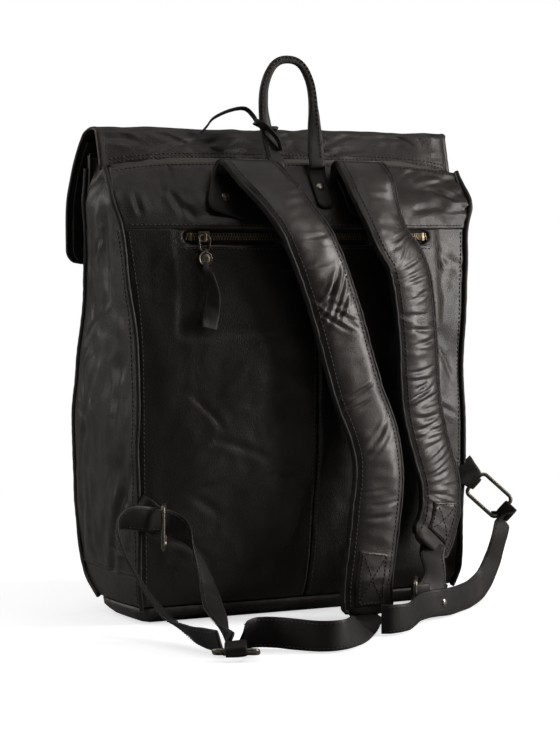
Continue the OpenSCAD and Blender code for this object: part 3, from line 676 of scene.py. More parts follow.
def backYoke():
    q = np.linspace(-1, 1, 170)
    v = np.linspace(0, 1, 32)
    qq, vv = np.meshgrid(q, v)
    low = yokeLow - 2.5 * mm
    x = qq * halfWidth(0.38)
    zz = low + vv * (yokeTop(x) - low)
    x = qq * halfWidth(zz)

    def lap(p, edges):
        return (1.1 * mm * np.exp(-edges[2] / (9 * mm)) + creaseField(p[..., 0], p[..., 2], yokeCreases)
                + 1.0 * mm * np.exp(-((edges[3] - 5 * mm) / (3 * mm)) ** 2))
    sewnPanel("backYoke", backPoint(x, zz), (0, 1, 0), (3.0, 3.0, 1.0, 3.0), bodyHide,
              replaced=("back_yoke",), extra=lap)


def gussets():
    for side, name in ((1, "right"), (-1, "left")):
        s, v = np.linspace(-1, 1, 66), np.linspace(0, 1, 190)
        ss, vv = np.meshgrid(s, v)
        top = mouthTop - (9 + 7 * ss) * mm
        z = bootTop - 2 * mm + vv * (top - bootTop + 2 * mm)
        folds = randomCreases(bodyRng, 9, (-0.05, 0.045), (0.08, 0.38), (1.1, 2.0), (0.05, 0.12), 1.8 * mm,
                              6 * mm)
        folds += randomCreases(bodyRng, 12, (-0.05, 0.05), (0.06, 0.4), (0.0, 3.1), (0.015, 0.035),
                               0.8 * mm, 2.6 * mm)

        def lap(p, edges, folds=folds):
            return 0.9 * mm * np.exp(-edges[2] / (9 * mm)) + creaseField(p[..., 1], p[..., 2], folds)
        points = sidePoint(side, ss, z)
        points[..., 0] -= side * 15 * mm * smoothStep(z, 0.368, 0.408) * (1 - ss * ss)
        sewnPanel("sideGusset_" + name, points, (side, 0, 0), (3.0, 3.0, 1.0, 1.5), bodyHide,
                  replaced=("side_gusset_" + name,), extra=lap, dent=1.7)
        s, z = np.linspace(-1, 1, 66), np.linspace(seamLow, bootTop, 18)
        ss, zz = np.meshgrid(s, z)
        sewnPanel("sideBoot_" + name, sidePoint(side, ss, zz), (side, 0, 0), (3.5, 3.5, 2.5, 0.8), bodyHide,
                  replaced=("side_boot_" + name,), dent=0.7)


def frontPanel():
    qq, zz = np.meshgrid(np.linspace(-1, 1, 160), steps(seamLow, mouthTop))
    sewnPanel("frontPanel", frontPoint(qq * halfWidth(zz), zz), (0, -1, 0), (3.5, 3.5, 2.5, 1.5), bodyHide,
              replaced=("front_panel",), dent=0.8)


def outlineRing(z, inset, count=64):
    # Closed outline of the body at one height, set in and rounded at its corners
    z = np.full(count, z)
    q = np.linspace(1, -1, count)
    ring = np.vstack([backPoint(q * halfWidth(z), z)[:-1], sidePoint(-1, q, z)[:-1],
                      frontPoint(-q * halfWidth(z), z)[:-1],
                      sidePoint(1, np.linspace(-1, 1, count), z)[:-1]])
    centre = np.array([0, ring[:, 1].mean(), 0])
    r = ring - centre
    size = np.array([halfWidth(z[0]), (backDepth(z[0]) + frontDepth(z[0])) / 2])
    corner = np.clip(np.abs(r[:, 0]) / size[0] + np.abs(r[:, 1]) / size[1] - 1.72, 0, 1)
    scale = 1 - inset / size[None, :] - 0.10 * corner[:, None] ** 1.2
    return centre + np.column_stack([r[:, 0] * scale[:, 0], r[:, 1] * scale[:, 1], r[:, 2]])


def basePanel():
    rings = [outlineRing(z, inset) for z, inset in ((seamLow, 3 * mm), (seamLow - 1.2 * mm, 0.6 * mm),
                                                    (seamLow - 4 * mm, -0.6 * mm), (0.5 * seamLow, 0.0),
                                                    (0.22 * seamLow, 1.5 * mm), (0.07 * seamLow, 5 * mm),
                                                    (0.0, 10 * mm), (0.0, 22 * mm))]
    flat = rings[-1]
    middle = flat.mean(0)
    rings += [middle + (flat - middle) * k for k in (0.6, 0.2, 0.02)]
    p = np.array(rings)
    p[-4:, :, 2] = 0.0003
    faces = [f[::-1] for f in gridFaces(len(p), p.shape[1], closed=True)]
    piece = addPiece("basePanel", p, faces, "bag", "hide", bodyHide, ("base_panel",))
    thicken(piece, bodyShape["leather"], 1)


backPanels()
backYoke()
gussets()
frontPanel()
basePanel()
print("body panels made")

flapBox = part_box("flap")
flapShape = {
    "profile": [(14.5, -1), (12, 7), (8.6, 15), (6.2, 22), (4.6, 26.5), (0.5, 29.2), (-4.5, 28.6),
                (-9.5, 25), (-14.5, 19), (-21, 11), (-31.5, -3), (-39.5, -21), (-46, -41), (-50, -68),
                (-49.5, -95)],
    "bow": [(-95, 10), (-68, 10), (-20, 5), (15, 1.5), (30, 0)],
}


def flapSurface(inset, first, count=(96, 180)):
    # Rows run from the back of the ridge over the crest and down the front; heights are from the ridge seam
    outline = np.array(flapShape["profile"][first:], float) * mm
    path, run, _ = smoothRoute(np.column_stack([0 * outline[:, 0], outline]), 2 * mm)
    pick = np.linspace(0, run[-1], count[0])
    y, h = np.interp(pick, run, path[:, 1]), np.interp(pick, run, path[:, 2])
    outY, outH = np.gradient(h), -np.gradient(y)
    length = np.hypot(outY, outH)
    y, h = y - inset * outY / length, h - inset * outH / length
    q = np.linspace(-1, 1, count[1])
    bow = curveThrough([(a * mm, b * mm) for a, b in flapShape["bow"]])(h)
    front = smoothStep(-y, -8 * mm, 12 * mm)
    wide = halfWidth(ridgeSeam) * (1 - front) + flapBox[1].x * front - (6 * mm if inset > 1 * mm else 0)
    x = q[None, :] * wide[:, None]
    # The lower corners are round
    low = ridgeSeam + h
    corner = 14 * mm
    drop = np.clip((low.min() + corner - low) / corner, 0, 1)[:, None]
    x = x * (1 - (1 - np.sqrt(1 - 0.999 * drop**2)) * corner / wide[:, None])
    seam = (yokeTop(x) - ridgeSeam) * smoothStep(-h, -20 * mm, 0)[:, None] * (1 - front)[:, None]
    # The front bows out in its middle
    out = (y - bow * front)[:, None] - bow[:, None] * front[:, None] * (-(q * q))[None, :]
    return np.stack([x, out + 0 * x, low[:, None] + seam + 0 * x], -1)


def makeFlap():
    creases = randomCreases(bodyRng, 26, (-0.17, 0.17), (0.418, 0.44), (-0.5, 0.5), (0.02, 0.06), 0.8 * mm,
                            2.2 * mm)

    def hem(p, edges):
        near = np.minimum(np.minimum(edges[0], edges[1]), edges[3])
        crest = creaseField(p[..., 0], p[..., 2], creases) * smoothStep(p[..., 1], -15 * mm, 5 * mm)
        wave = softNoise(p * np.array([1, 0.2, 0.2]), 0.03) * 2.2 * mm * smoothStep(p[..., 2], 0.425, 0.438)
        return crest + wave + 0.5 * mm * np.exp(-((near - 3.5 * mm) / (2.2 * mm)) ** 2)
    piece = sewnPanel("flapLeather", flapSurface(0, 0), (0, -1, 0.2), (1.2, 1.2, 3.0, 1.2), bodyHide,
                      body=None, replaced=("flap", "ridge_strip"), extra=hem, dent=0.9)
    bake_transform(piece)
    sewnPanel("flapLining", flapSurface(3.2 * mm, 8, (70, 140)), (0, -1, 0.2), (0.6, 0.6, 0.6, 0.6),
              underHide, body="flap", slotName="edge", replaced=("flap_lining",), dent=0.9, pucker=0,
              thickness=1 * mm)


makeFlap()
print("flap made")

panelPieces = ("backPanel_right", "backPanel_left", "backYoke", "sideGusset_right", "sideGusset_left",
               "sideBoot_right", "sideBoot_left", "frontPanel", "flapLeather")


def treeOf(names):
    parts = []
    for name in names:
        mesh = bpy.data.objects[name].data
        parts.append(([v.co[:] for v in mesh.vertices], [tuple(p.vertices) for p in mesh.polygons]))
    points, faces = joinParts(parts)
    return BVHTree.FromPolygons(points.tolist(), faces)


panelTree = treeOf(panelPieces)
drapeStart, drapeReach = 0.05, 0.12


def drape(points, direction, tree=panelTree):
    # Lays points on the leather along a direction, and gives the leather's normals there
    found, normals = [], []
    d = Vector(direction).normalized()
    for p in points:
        hit, normal, _, _ = tree.ray_cast(Vector(p) - d * drapeStart, d, drapeReach)
        if hit is not None:
            found.append(hit[:])
            normals.append((normal if normal.dot(d) < 0 else -normal)[:])
    return np.array(found), np.array(normals)


def ballTemplate(rings=5, sides=7):
    a = np.linspace(0, math.pi, rings)[:, None]
    b = np.arange(sides)[None, :] * 2 * math.pi / sides
    p = np.stack([np.cos(a) + 0 * b, np.sin(a) * np.cos(b), np.sin(a) * np.sin(b)], -1)
    return p.reshape(-1, 3), gridFaces(rings, sides, closed=True)


stitchBall = ballTemplate()


def stitchParts(path, normals, pitch=4 * mm, length=3.0 * mm, radius=0.62 * mm, lift=0.22 * mm):
    run = np.concatenate([[0], np.cumsum(np.linalg.norm(np.diff(path, axis=0), axis=1))])
    count = int(run[-1] / pitch)
    if count < 1:
        return []
    at = (np.arange(count) + 0.5) * run[-1] / count
    centre = np.stack([np.interp(at, run, path[:, k]) for k in range(3)], 1)
    ahead = np.stack([np.interp(at + 0.5 * mm, run, path[:, k]) for k in range(3)], 1)
    n = unit(np.stack([np.interp(at, run, normals[:, k]) for k in range(3)], 1))
    t = unit(ahead - centre)
    w = np.cross(n, t)
    ball, faces = stitchBall
    ball = ball * np.array([length / 2, radius, radius])
    p = ((centre + n * lift)[:, None] + ball[None, :, :1] * t[:, None] + ball[None, :, 1:2] * w[:, None]
         + ball[None, :, 2:] * n[:, None])
    return [(q, faces) for q in p]


def addParts(name, parts, body, slotName, material, replaced=()):
    points, faces = joinParts(parts)
    return addPiece(name, points, faces, body, slotName, material, replaced)


def row(values, *axes):  # points of a row from values and functions or constants for the other axes
    return np.column_stack([a(values) if callable(a) else a + 0 * values for a in axes])


def roundedBox(size, radius, cells=6):
    half = np.array(size) / 2
    g = np.linspace(-1, 1, cells + 1)
    parts = []
    for axis in range(3):
        for sign in (-1, 1):
            a, b = np.meshgrid(g, g)
            p = np.zeros(a.shape + (3,))
            p[..., axis], p[..., (axis + 1) % 3], p[..., (axis + 2) % 3] = sign, a, b
            p = p * half
            core = np.clip(p, -(half - radius), half - radius)
            p = core + unit(p - core) * radius
            faces = gridFaces(cells + 1, cells + 1)
            parts.append((p, faces if sign > 0 else [f[::-1] for f in faces]))
    return joinParts(parts)


def placed(part, centre, x, y, z):  # a part turned to three axes and moved
    p, faces = part
    return p @ np.array([x, y, z]) + np.array(centre), faces


def strapRings(path, w, up, half, thick, sides=20, power=4.0):  # flat band with rounded edges
    a = np.arange(sides) * 2 * math.pi / sides
    c, sn = np.cos(a), np.sin(a)
    x = np.sign(c) * np.abs(c) ** (2 / power)
    y = np.sign(sn) * np.abs(sn) ** (2 / 2.6)
    half = np.broadcast_to(np.asarray(half, float), len(path))[:, None, None]
    thick = np.broadcast_to(np.asarray(thick, float), len(path))[:, None, None]
    return path[:, None] + w[:, None] * x[None, :, None] * half + up[:, None] * y[None, :, None] * thick


def itself(v):  # a coordinate that is the row's own value
    return v


def seamRow(values, x, y, z, direction, tree=panelTree):  # stitches along a line laid on the leather
    return stitchParts(*drape(row(values, x, y, z), direction, tree))


def edgeStitches(path, w, up, half, inset, lift, part=slice(None), faces=(1,), **stitch):
    # A row of stitches along both edges of a band, on its outer face or on both
    rows = []
    for side in (-1, 1):
        for face in faces:
            line = path + w * (side * (half - inset))[:, None] + up * (face * lift)
            rows += stitchParts(line[part], up[part] * face, **stitch)
    return rows


seamStep = 2 * mm


def bodyStitches():
    back = (0, -1, 0)
    x = np.arange(-0.172, 0.172, seamStep)
    parts = seamRow(x, itself, 0.06, yokeLow + 1.2 * mm, back)
    for offset in (-3.5 * mm, 3.2 * mm, 6.5 * mm):
        parts += seamRow(x * 1.02, itself, 0.04, lambda v: yokeTop(v) + offset, back)
    x = np.arange(windowBox["xMin"] - 2 * mm, windowBox["xMax"] + 2 * mm, seamStep)
    parts += seamRow(x, itself, 0.06, windowBox["low"] - 4 * mm, back)
    z = np.arange(seamLow + 4 * mm, windowBox["low"] - 6 * mm, seamStep)
    for offset in (-3.2 * mm, 3.2 * mm):
        parts += seamRow(z, offset, 0.06, itself, back)
    z = np.arange(seamLow + 4 * mm, yokeLow - 3 * mm, seamStep)
    y = np.arange(-0.07, 0.055, seamStep)
    for side in (-1, 1):
        inwards = (-side, 0, 0)
        parts += seamRow(z, lambda v: side * (halfWidth(v) - 5.5 * mm), 0.06, itself, back)
        parts += seamRow(z, side * 0.16, lambda v: backDepth(v) - 6 * mm, itself, inwards)
        parts += seamRow(y, side * 0.16, itself, bootTop + 1.2 * mm, inwards)
    addParts("bodyStitches", parts, "bag", "edge", thread)


def flapStitches():
    parts = []
    forwards = (0, 1, 0)
    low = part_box("flap")[0].z
    x = np.arange(-0.175, 0.176, seamStep)
    z = np.arange(low + 12 * mm, 0.425, seamStep)
    flapTree = treeOf(("flapLeather",))
    for offset in (4 * mm, 8 * mm):
        parts += seamRow(x, itself, -0.06, low + offset, forwards, flapTree)
    for side in (-1, 1):
        parts += seamRow(z, side * (flapBox[1].x - 5 * mm), -0.05, itself, forwards, flapTree)
    addParts("flapStitches", parts, "flap", "edge", thread)


bodyStitches()
flapStitches()


def pipings():
    out = 0.6 * mm
    z = np.arange(seamLow, ridgeSeam - 6 * mm, 2.5 * mm)
    for name, depth, sign in (("back_piping", backDepth, 1), ("front_piping", frontDepth, -1)):
        parts = []
        for side in (-1, 1):
            path = sag(np.column_stack([side * (halfWidth(z) + out), sign * (depth(z) + out), z]))
            radius = (2.35 + 0.4 * softNoise(path, 0.006)) * mm
            parts.append(closedSweep(tubeRings(path, radius)))
        addParts(name.replace("_p", "P"), parts, "bag", "edge", cordHide, (name,))


pipings()
print("seams made")

# Shoulder straps from the anchor down, in millimetres; bands are (height, angle, creases, depth)
padShapes = {
    "right": {
        "route": [(61, 44.5, 392), (60, 45.5, 402), (58.5, 50, 408.5), (55.5, 58, 408), (46, 69, 393),
                  (35, 77, 378), (18, 88.5, 349), (6, 93.5, 322), (-4, 97, 292), (-12, 99.5, 265),
                  (-20, 101.5, 235), (-30, 104, 200), (-43, 107, 165), (-47, 110, 130), (-42, 112, 90),
                  (-37, 113, 55), (-33, 114, 30), (-33, 115, 7)],
        "wide": (1, 0.05, 0.3), "fold": (1, 0.0, 0.02), "half": 25.0, "patch": (12, 62),
        "body": "strap_right", "seed": 3,
        "bands": [(285, 0.75, 7, 1.5), (275, -0.7, 7, 1.3), (200, 0.05, 2, 1.7), (150, 0.5, 4, 0.9),
                  (330, -0.3, 3, 0.9), (105, 0.3, 3, 0.8)],
    },
    "left": {
        "route": [(-62, 43, 392), (-60, 45, 402), (-59, 50, 408.5), (-58.5, 58, 408), (-61, 69, 393),
                  (-64, 77, 373), (-73, 89, 340), (-86, 92.5, 318), (-92, 94.5, 290), (-96, 95.5, 248),
                  (-98, 95.5, 212), (-102, 94.5, 183), (-112, 93.5, 148), (-121, 93.5, 120),
                  (-122, 94.5, 96), (-116, 96.5, 75), (-106, 100, 60)],
        "wide": (1, 0.3, 0.1), "fold": (1, 0.0, 0.02), "half": 25.0, "patch": (67, 100),
        "body": "strap_left", "seed": 8,
        "bands": [(330, 0.15, 5, 1.0), (295, 0.1, 6, 1.1), (262, -0.1, 6, 1.1), (230, 0.05, 6, 1.2),
                  (200, 0.1, 7, 1.3), (170, -0.1, 6, 1.2), (138, 0.1, 6, 1.2), (112, -0.2, 4, 1.0)],
    },
}


def padCourse(s):
    path, run, place = smoothRoute(np.array(s["route"], float) * mm, 1.7 * mm)
    t, w, up = routeFrames(path, place, s["wide"])
    fold = unit(np.array(s["fold"], float))[None]
    along = (fold * t).sum(-1, keepdims=True)
    skewed = fold / np.maximum(np.linalg.norm(fold - along * t, axis=1, keepdims=True), 0.6)
    share = smoothStep(run, 32 * mm, 95 * mm)[:, None]
    up = unit(up * share + unit(np.cross(fold, t)) * (1 - share))
    return path, run, t, w * share + skewed * (1 - share), up


def padHeights(s, path, run, x, half):
    # Height of the padded face over the route, at each place across x and along the route
    a = np.clip(np.abs(x) / half, 0, 1)
    taper = 1 - 0.35 * smoothStep(run, run[-1] - 30 * mm, run[-1])
    full = smoothStep(run, 18 * mm, 48 * mm)[:, None] * taper[:, None]
    crown = (1.7 + 4.6 * full * (1 - a**3.2)) * mm
    rng = np.random.default_rng(s["seed"])
    creases = []
    for z, angle, count, depth in s["bands"]:
        place = run[np.argmin(np.abs(path[:, 2] - z * mm) + (run < 30 * mm))]
        creases += randomCreases(rng, count, (-0.013, 0.013), (place - 0.016, place + 0.016),
                                 (angle - 0.15, angle + 0.15), (0.02, 0.045), depth * mm, 1.7 * mm)
    grid = np.stack([x, run[:, None] + 0 * x, 0 * x + s["seed"]], -1)
    dents = softNoise(grid, 0.03) * 1.3 * mm + softNoise(grid * np.array([1, 2.2, 1]), 0.017) * 0.9 * mm
    pucker = (0.3 - np.abs(softNoise(grid + 2, 0.008))) * 1.0 * mm * np.exp(-((1 - a) * half / (5 * mm)))
    worn = creaseField(x, run[:, None] + 0 * x, creases) + dents
    return crown + worn * (1 - a**4) * (0.3 + 0.7 * full) + pucker


def makePads():
    for name, s in padShapes.items():
        path, run, t, w, up = padCourse(s)
        half = np.full(len(run), s["half"] * mm)
        narrow = 1.5 * mm * (1 - smoothStep(run, 20 * mm, 60 * mm))
        half -= narrow + 4 * mm * smoothStep(run, run[-1] - 6 * mm, run[-1]) ** 2
        half = (half + softNoise(path, 0.04) * 1.2 * mm)[:, None]
        a = np.sin(np.linspace(-1, 1, 33) * math.pi / 2)[None, :]
        x = a * half
        top = padHeights(s, path, run, x, half)
        full = smoothStep(run, 18 * mm, 48 * mm)[:, None]
        below = -(1.6 + 3.2 * full * (1 - np.abs(a[:, ::-1]) ** 4)) * mm
        front = path[:, None] + w[:, None] * x[..., None] + up[:, None] * top[..., None]
        back = path[:, None] + w[:, None] * x[:, ::-1, None] + up[:, None] * (below + 0 * x)[..., None]
        rings = np.concatenate([front, back], 1)
        centre = rings.mean(1, keepdims=True)
        # Two smaller rings close each end
        first = [centre[0] + (rings[0] - centre[0]) * k - t[0] * out * mm
                 for k, out in ((0.5, 1.5), (0.85, 1.2))]
        last = [centre[-1] + (rings[-1] - centre[-1]) * k + t[-1] * out * mm
                for k, out in ((0.88, 2.5), (0.5, 3.2))]
        rings = np.concatenate([np.array(first), rings, np.array(last)])
        pad = addPiece("strapPad_" + name, *closedSweep(rings), s["body"], "hide", strapHide,
                       tuple(part + name for part in ("strap_face_", "strap_foam_", "strap_back_")))
        cords = []
        for side in (-1, 1):
            for lift, size in ((0.9, 1.75), (-1.6, 1.6)):
                edge = path + w * (side * (half[:, :1] + 0.5 * mm)) + up * (lift * mm)
                edge = edge + up * softNoise(edge, 0.009)[:, None] * 1.0 * mm
                cord = tubeRings(edge, (size + 0.3 * softNoise(edge, 0.005)) * mm, 9)
                cords.append(closedSweep(cord))
        addParts("strapPiping_" + name, cords, s["body"], "edge", cordHide)
        rows = []
        inset = half[:, 0] - 4.6 * mm
        index = np.arange(12, len(run) - 3)
        for side in (-1, 1):
            lift = np.array([np.interp(side * inset[i], x[i], top[i]) for i in range(len(run))])
            line = path + w * (side * inset)[:, None] + up * lift[:, None]
            rows += stitchParts(line[index], up[index])
        addParts("strapStitches_" + name, rows, s["body"], "edge", thread)
        makePatch(name, s, path, run, w, up, x, top)


def makePatch(name, s, path, run, w, up, x, top):
    # Reinforcing patch near the lower end, sewn round its edge and across its corners
    low, high = (v * mm for v in s["patch"])
    index = np.where((path[:, 2] > low) & (path[:, 2] < high) & (run > 0.1))[0]
    half = 15.5 * mm
    a = np.linspace(-1, 1, 20)
    level = np.array([[np.interp(v * half, x[i], top[i]) for v in a] for i in index])
    fromEnds = np.minimum(run[index] - run[index[0]], run[index[-1]] - run[index])
    rim = np.minimum((1 - np.abs(a))[None, :] * half, fromEnds[:, None])
    level = level + 1.5 * mm - roll(rim, 1.3 * mm)
    grid = path[index][:, None] + w[index][:, None] * (a * half)[None, :, None]
    grid = grid + up[index][:, None] * level[..., None]
    patch = addPiece("strapPatch_" + name, grid, gridFaces(*grid.shape[:2]), s["body"], "hide", strapHide,
                     ("strap_patch_" + name,))
    thicken(patch, 1.4 * mm)
    run0, run1 = run[index[0]] + 2.6 * mm, run[index[-1]] - 2.6 * mm
    side = half - 2.6 * mm

    def line(a0, r0, a1, r1, count=40):
        u, r = np.linspace(a0, a1, count), np.linspace(r0, r1, count)
        i = np.interp(r, run[index], np.arange(len(index)))
        k = np.clip(i.astype(int), 0, len(index) - 2)
        f = (i - k)[:, None]
        j = np.clip(np.interp(u / half, a, np.arange(len(a))).round().astype(int), 0, len(a) - 1)
        base = path[index][k] * (1 - f) + path[index][k + 1] * f
        h = (level[k, j] * (1 - f[:, 0]) + level[k + 1, j] * f[:, 0])[:, None]
        return base + w[index][k] * u[:, None] + up[index][k] * h, up[index][k]
    rows = []
    corners = [(-side, run0), (side, run0), (side, run1), (-side, run1)]
    for i, j in ((0, 1), (1, 2), (2, 3), (3, 0), (0, 2), (1, 3)):
        ends = corners[i] + corners[j]
        rows += stitchParts(*line(*ends), pitch=3.6 * mm, length=2.7 * mm)
    addParts("patchStitches_" + name, rows, s["body"], "edge", thread)


makePads()
print("straps made")

# Routes and half widths are in millimetres; wide gives the direction of the width along the route
beltShapes = {
    "beltRight": {
        "route": [(-33, 113.5, 12), (-30, 116, 4), (-22, 135, 3.4), (-6, 158, 5), (16, 190, 9),
                  (42, 228, 13), (68, 250, 14), (88, 248, 14), (102, 230, 14), (113, 213, 14),
                  (126, 206, 14), (138, 209, 13), (145, 214.5, 10.5)],
        "wide": [(1, 0, 0), (1, 0, 0), (1, -0.4, 0), (0.9, -0.6, 0.1), (0.6, -0.5, 0.6), (0.2, -0.3, 0.9),
                 (0, 0, 1), (0, 0, 1), (0, 0, 1), (0, 0, 1), (0, 0.1, 1), (0, 0.3, 1), (-0.25, 0.4, 0.9)],
        "half": 13, "replaces": ("belt_right",), "blend": ("strap_right", (16, 190, 8), (-30, 116, 5)),
    },
    "beltTailRight": {
        "route": [(171, 226, 12), (173, 208, 12), (176, 184, 13), (180, 150, 20), (190, 122, 44),
                  (200, 104, 70), (203, 94, 92), (192, 92, 101), (172, 90, 99), (152, 88.5, 95),
                  (138, 93, 84), (130, 104, 64), (132, 126, 42), (142, 160, 26), (152, 194, 16),
                  (158, 214, 12), (162, 226, 10)],
        "wide": [(0.3, 0, 1), (0.5, 0, 1), (0.6, 0.1, 0.8), (0.8, 0.5, 0.3), (0.5, 0.8, 0.2),
                 (0.4, 0.9, 0.2), (0.3, 0.8, 0.5), (0.1, 0.4, 0.9), (0, 0.1, 1), (0, 0.1, 1),
                 (0.3, 0.3, 0.9), (0.7, 0.5, 0.5), (0.9, 0.3, 0.3), (0.9, 0, 0.3), (0.6, 0, 0.8),
                 (0.2, 0, 1), (-0.3, 0.2, 0.9)],
        "half": 11, "replaces": ("belt_tail_right",),
    },
    "beltLeft": {
        "route": [(-112, 99, 62), (-108, 103, 52), (-106, 110, 43), (-100, 121, 33), (-90, 129.5, 26),
                  (-81, 133, 21.5), (-75, 134, 20)],
        "wide": [(1, -0.2, 0.2), (1, -0.3, 0.3), (0.9, -0.4, 0.5), (0.6, -0.4, 0.8), (0.3, -0.3, 1),
                 (0, 0, 1), (0, 0, 1)],
        "half": 12.5, "replaces": ("belt_left",), "blend": ("strap_left", (-88, 130, 25), (-108, 104, 50)),
    },
    "beltTailLeft": {
        "route": [(-203, 76.5, 84), (-199.5, 79.5, 72), (-195, 80.5, 58), (-188, 80.5, 38), (-174, 86, 20),
                  (-150, 102, 13), (-124, 122, 13), (-106, 135, 13.5), (-92, 143, 14.5), (-78, 149, 15),
                  (-66, 156.5, 15), (-58, 162.5, 15), (-40, 182, 14.5), (-25, 198, 14.5), (-8, 203, 14.5),
                  (2, 199, 14.5)],
        "wide": [(-0.59, 0.31, 0.74), (0.9, 0.35, 0.2), (1, 0.4, 0.1), (1, 0.3, 0.1), (0.6, 0.2, 0.6),
                 (0.2, 0, 1)] + [(0, 0, 1)] * 10,
        "half": 12.5, "replaces": ("belt_tail_left", "belt_end_left"),
    },
}


def makeBelts():
    for name, s in beltShapes.items():
        path, _, w, up = courseOf(np.array(s["route"], float) * mm, 1.8 * mm, s["wide"])
        path = path + up * (softNoise(path, 0.05) * 1.5 * mm)[:, None]
        half = (s["half"] + softNoise(path + 3, 0.03) * 0.8) * mm
        rings = strapRings(path, w, up, half, 1.45 * mm, sides=24)
        wave = softNoise(rings, 0.012) * 0.5 * mm
        rings = rings + up[:, None] * wave[..., None]
        body = None if "blend" in s else "bag"
        pieces = [addPiece(name, *closedSweep(rings), body, "edge", beltHide, s["replaces"])]
        rows = edgeStitches(path, w, up, half, 2.6 * mm, 1.4 * mm, slice(3, -3), (-1, 1), pitch=3.8 * mm,
                            length=2.7 * mm, radius=0.36 * mm)
        pieces.append(addParts(name + "Stitches", rows, body, "edge", thread))
        if "blend" in s:
            for piece in pieces:
                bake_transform(piece)


makeBelts()


def barLoop(centre, bar, away, half, length=13 * mm, radius=3.1 * mm):
    # Leather folded round a bar, its two plies meeting a little way off
    bar, away = unit(np.array(bar, float)), np.array(away, float)
    away = unit(away - bar * (away @ bar))
    across = np.cross(bar, away)
    a = np.linspace(0.62 * math.pi, -0.62 * math.pi, 22)
    turn = -np.cos(a)[:, None] * away * radius + np.sin(a)[:, None] * across * radius
    first = np.linspace(1, 0, 8)[:, None]
    ply = 1.4 * mm
    plies = [away * (length * k) + across * (side * (ply + (radius - ply) * (1 - k) ** 0.7))
             for side, k in ((1, first), (-1, first[::-1]))]
    path = np.array(centre, float) * mm + np.vstack([plies[0][:-1], turn, plies[1][1:]])
    path, _, _ = smoothRoute(path, 1.2 * mm)
    t = unit(np.gradient(path, axis=0))
    up = unit(np.cross(np.tile(bar, (len(t), 1)), t))
    rings = strapRings(path, np.tile(bar, (len(t), 1)), up, half, 1.1 * mm)
    return closedSweep(rings)


tabShapes = {
    "right": {"route": [(170, 61, 103), (166, 66, 101), (160, 69, 97), (152, 71.5, 92.5)],
              "wide": [(-0.45, 0.1, 0.88)] * 3 + [(0, 0, 1)], "half": (16, 12), "bar": (149.13, 74.96, 91),
              "along": (0, 0, 1), "away": (0.62, -0.75, 0.2)},
    "left": {"route": [(-164.5, 60, 127), (-168.5, 65.4, 122), (-174, 66.8, 117), (-178.2, 66.2, 113)],
             "wide": [(-0.7, 0.05, 0.72), (-0.7, 0.05, 0.72), (-0.64, 0.2, 0.73), (-0.59, 0.31, 0.74)],
             "half": (15, 9), "bar": (-179.53, 62.37, 111.71), "along": (-0.591, 0.314, 0.743),
             "away": (0.6, 0.35, 0.55)},
}


def makeLoops():
    rightBar, ringBar = (-0.883, 0.469, 0.12), (-0.591, 0.314, 0.743)
    loops = [
        barLoop((157.1, 228.9, 3.2), rightBar, (-0.55, -0.85, 0.45), 9 * mm, 14 * mm),
        barLoop((168.9, 251.1, 9.4), rightBar, (0.1, -1, 0.1), 9 * mm, 16 * mm),
        barLoop((-71.9, 134, 20), (0, 0, 1), (-0.99, -0.12, 0), 11.5 * mm, 14 * mm),
        barLoop((-204.5, 75.6, 86.3), ringBar, (0.25, 0.3, -0.9), 7.5 * mm, 10 * mm),
    ]
    addParts("buckleLoops", loops, "bag", "edge", beltHide)


def makeSideTabs():
    for name, s in tabShapes.items():
        path, run, w, up = courseOf(np.array(s["route"], float) * mm, 1.2 * mm, s["wide"])
        width = np.linspace(*s["half"], len(run)) * mm
        rings = strapRings(path, w, up, width, 1.3 * mm)
        loop = barLoop(s["bar"], s["along"], s["away"], s["half"][1] * 0.72 * mm, 8 * mm)
        addParts("sideTab_" + name, [closedSweep(rings), loop], "bag", "hide", bodyHide,
                 ("side_tab_" + name,))
        rows = edgeStitches(path, w, up, width, 2.8 * mm, 1.25 * mm, pitch=3.6 * mm)
        addParts("sideTabStitches_" + name, rows, "bag", "edge", thread)


# Middle and lean of each anchor, in millimetres
anchorShape = {"right": (58, 22), "left": (-60, -2), "heights": (362, 372, 384, 393, 401, 404)}


def makeAnchors():
    for name in ("right", "left"):
        x, lean = anchorShape[name]
        z = np.array(anchorShape["heights"])
        xs = x + lean * np.interp(z, (366, 384, 401), (1, 0.6, 0.2))
        line = np.column_stack([xs * mm, 0.06 + 0 * xs, z * mm])
        found, _ = drape(line, (0, -1, 0))
        line[:len(found), 1] = found[:, 1] + np.interp(z, (362, 370, 401), (2.2, 3.2, 4.5)) * mm
        path, run, w, up = courseOf(line, 1.6 * mm, (1, 0, 0.2))
        width = np.interp(run, (0, 3 * mm, 9 * mm, run[-1]), (15, 18.5, 20.5, 23)) * mm
        rings = strapRings(path, w, up, width, 1.5 * mm, sides=32)
        addPiece("strapAnchor_" + name, *closedSweep(rings), "bag", "edge", beltHide,
                 ("strap_anchor_" + name,))
        rows = edgeStitches(path, w, up, width, 3.2 * mm, 1.5 * mm, slice(-11))
        addParts("anchorStitches_" + name, rows, "bag", "edge", thread)


backPatchShape = {"middle": 23.5, "low": 263, "high": 313, "half": 9.5}


def makeBackPatch():
    s = backPatchShape
    z = np.linspace(s["low"], s["high"], 30) * mm
    found, _ = drape(row(z, s["middle"] * mm, 0.06, itself), (0, -1, 0))
    _, w, up = routeFrames(found, np.zeros(len(found)), (1, 0, 0))
    rings = strapRings(found + up * 0.9 * mm, w, up, s["half"] * mm, 1.0 * mm)
    addPiece("backPatch", *closedSweep(rings), "bag", "edge", beltHide, ("back_patch",))


makeLoops()
makeSideTabs()
makeAnchors()
makeBackPatch()
print("belts made")

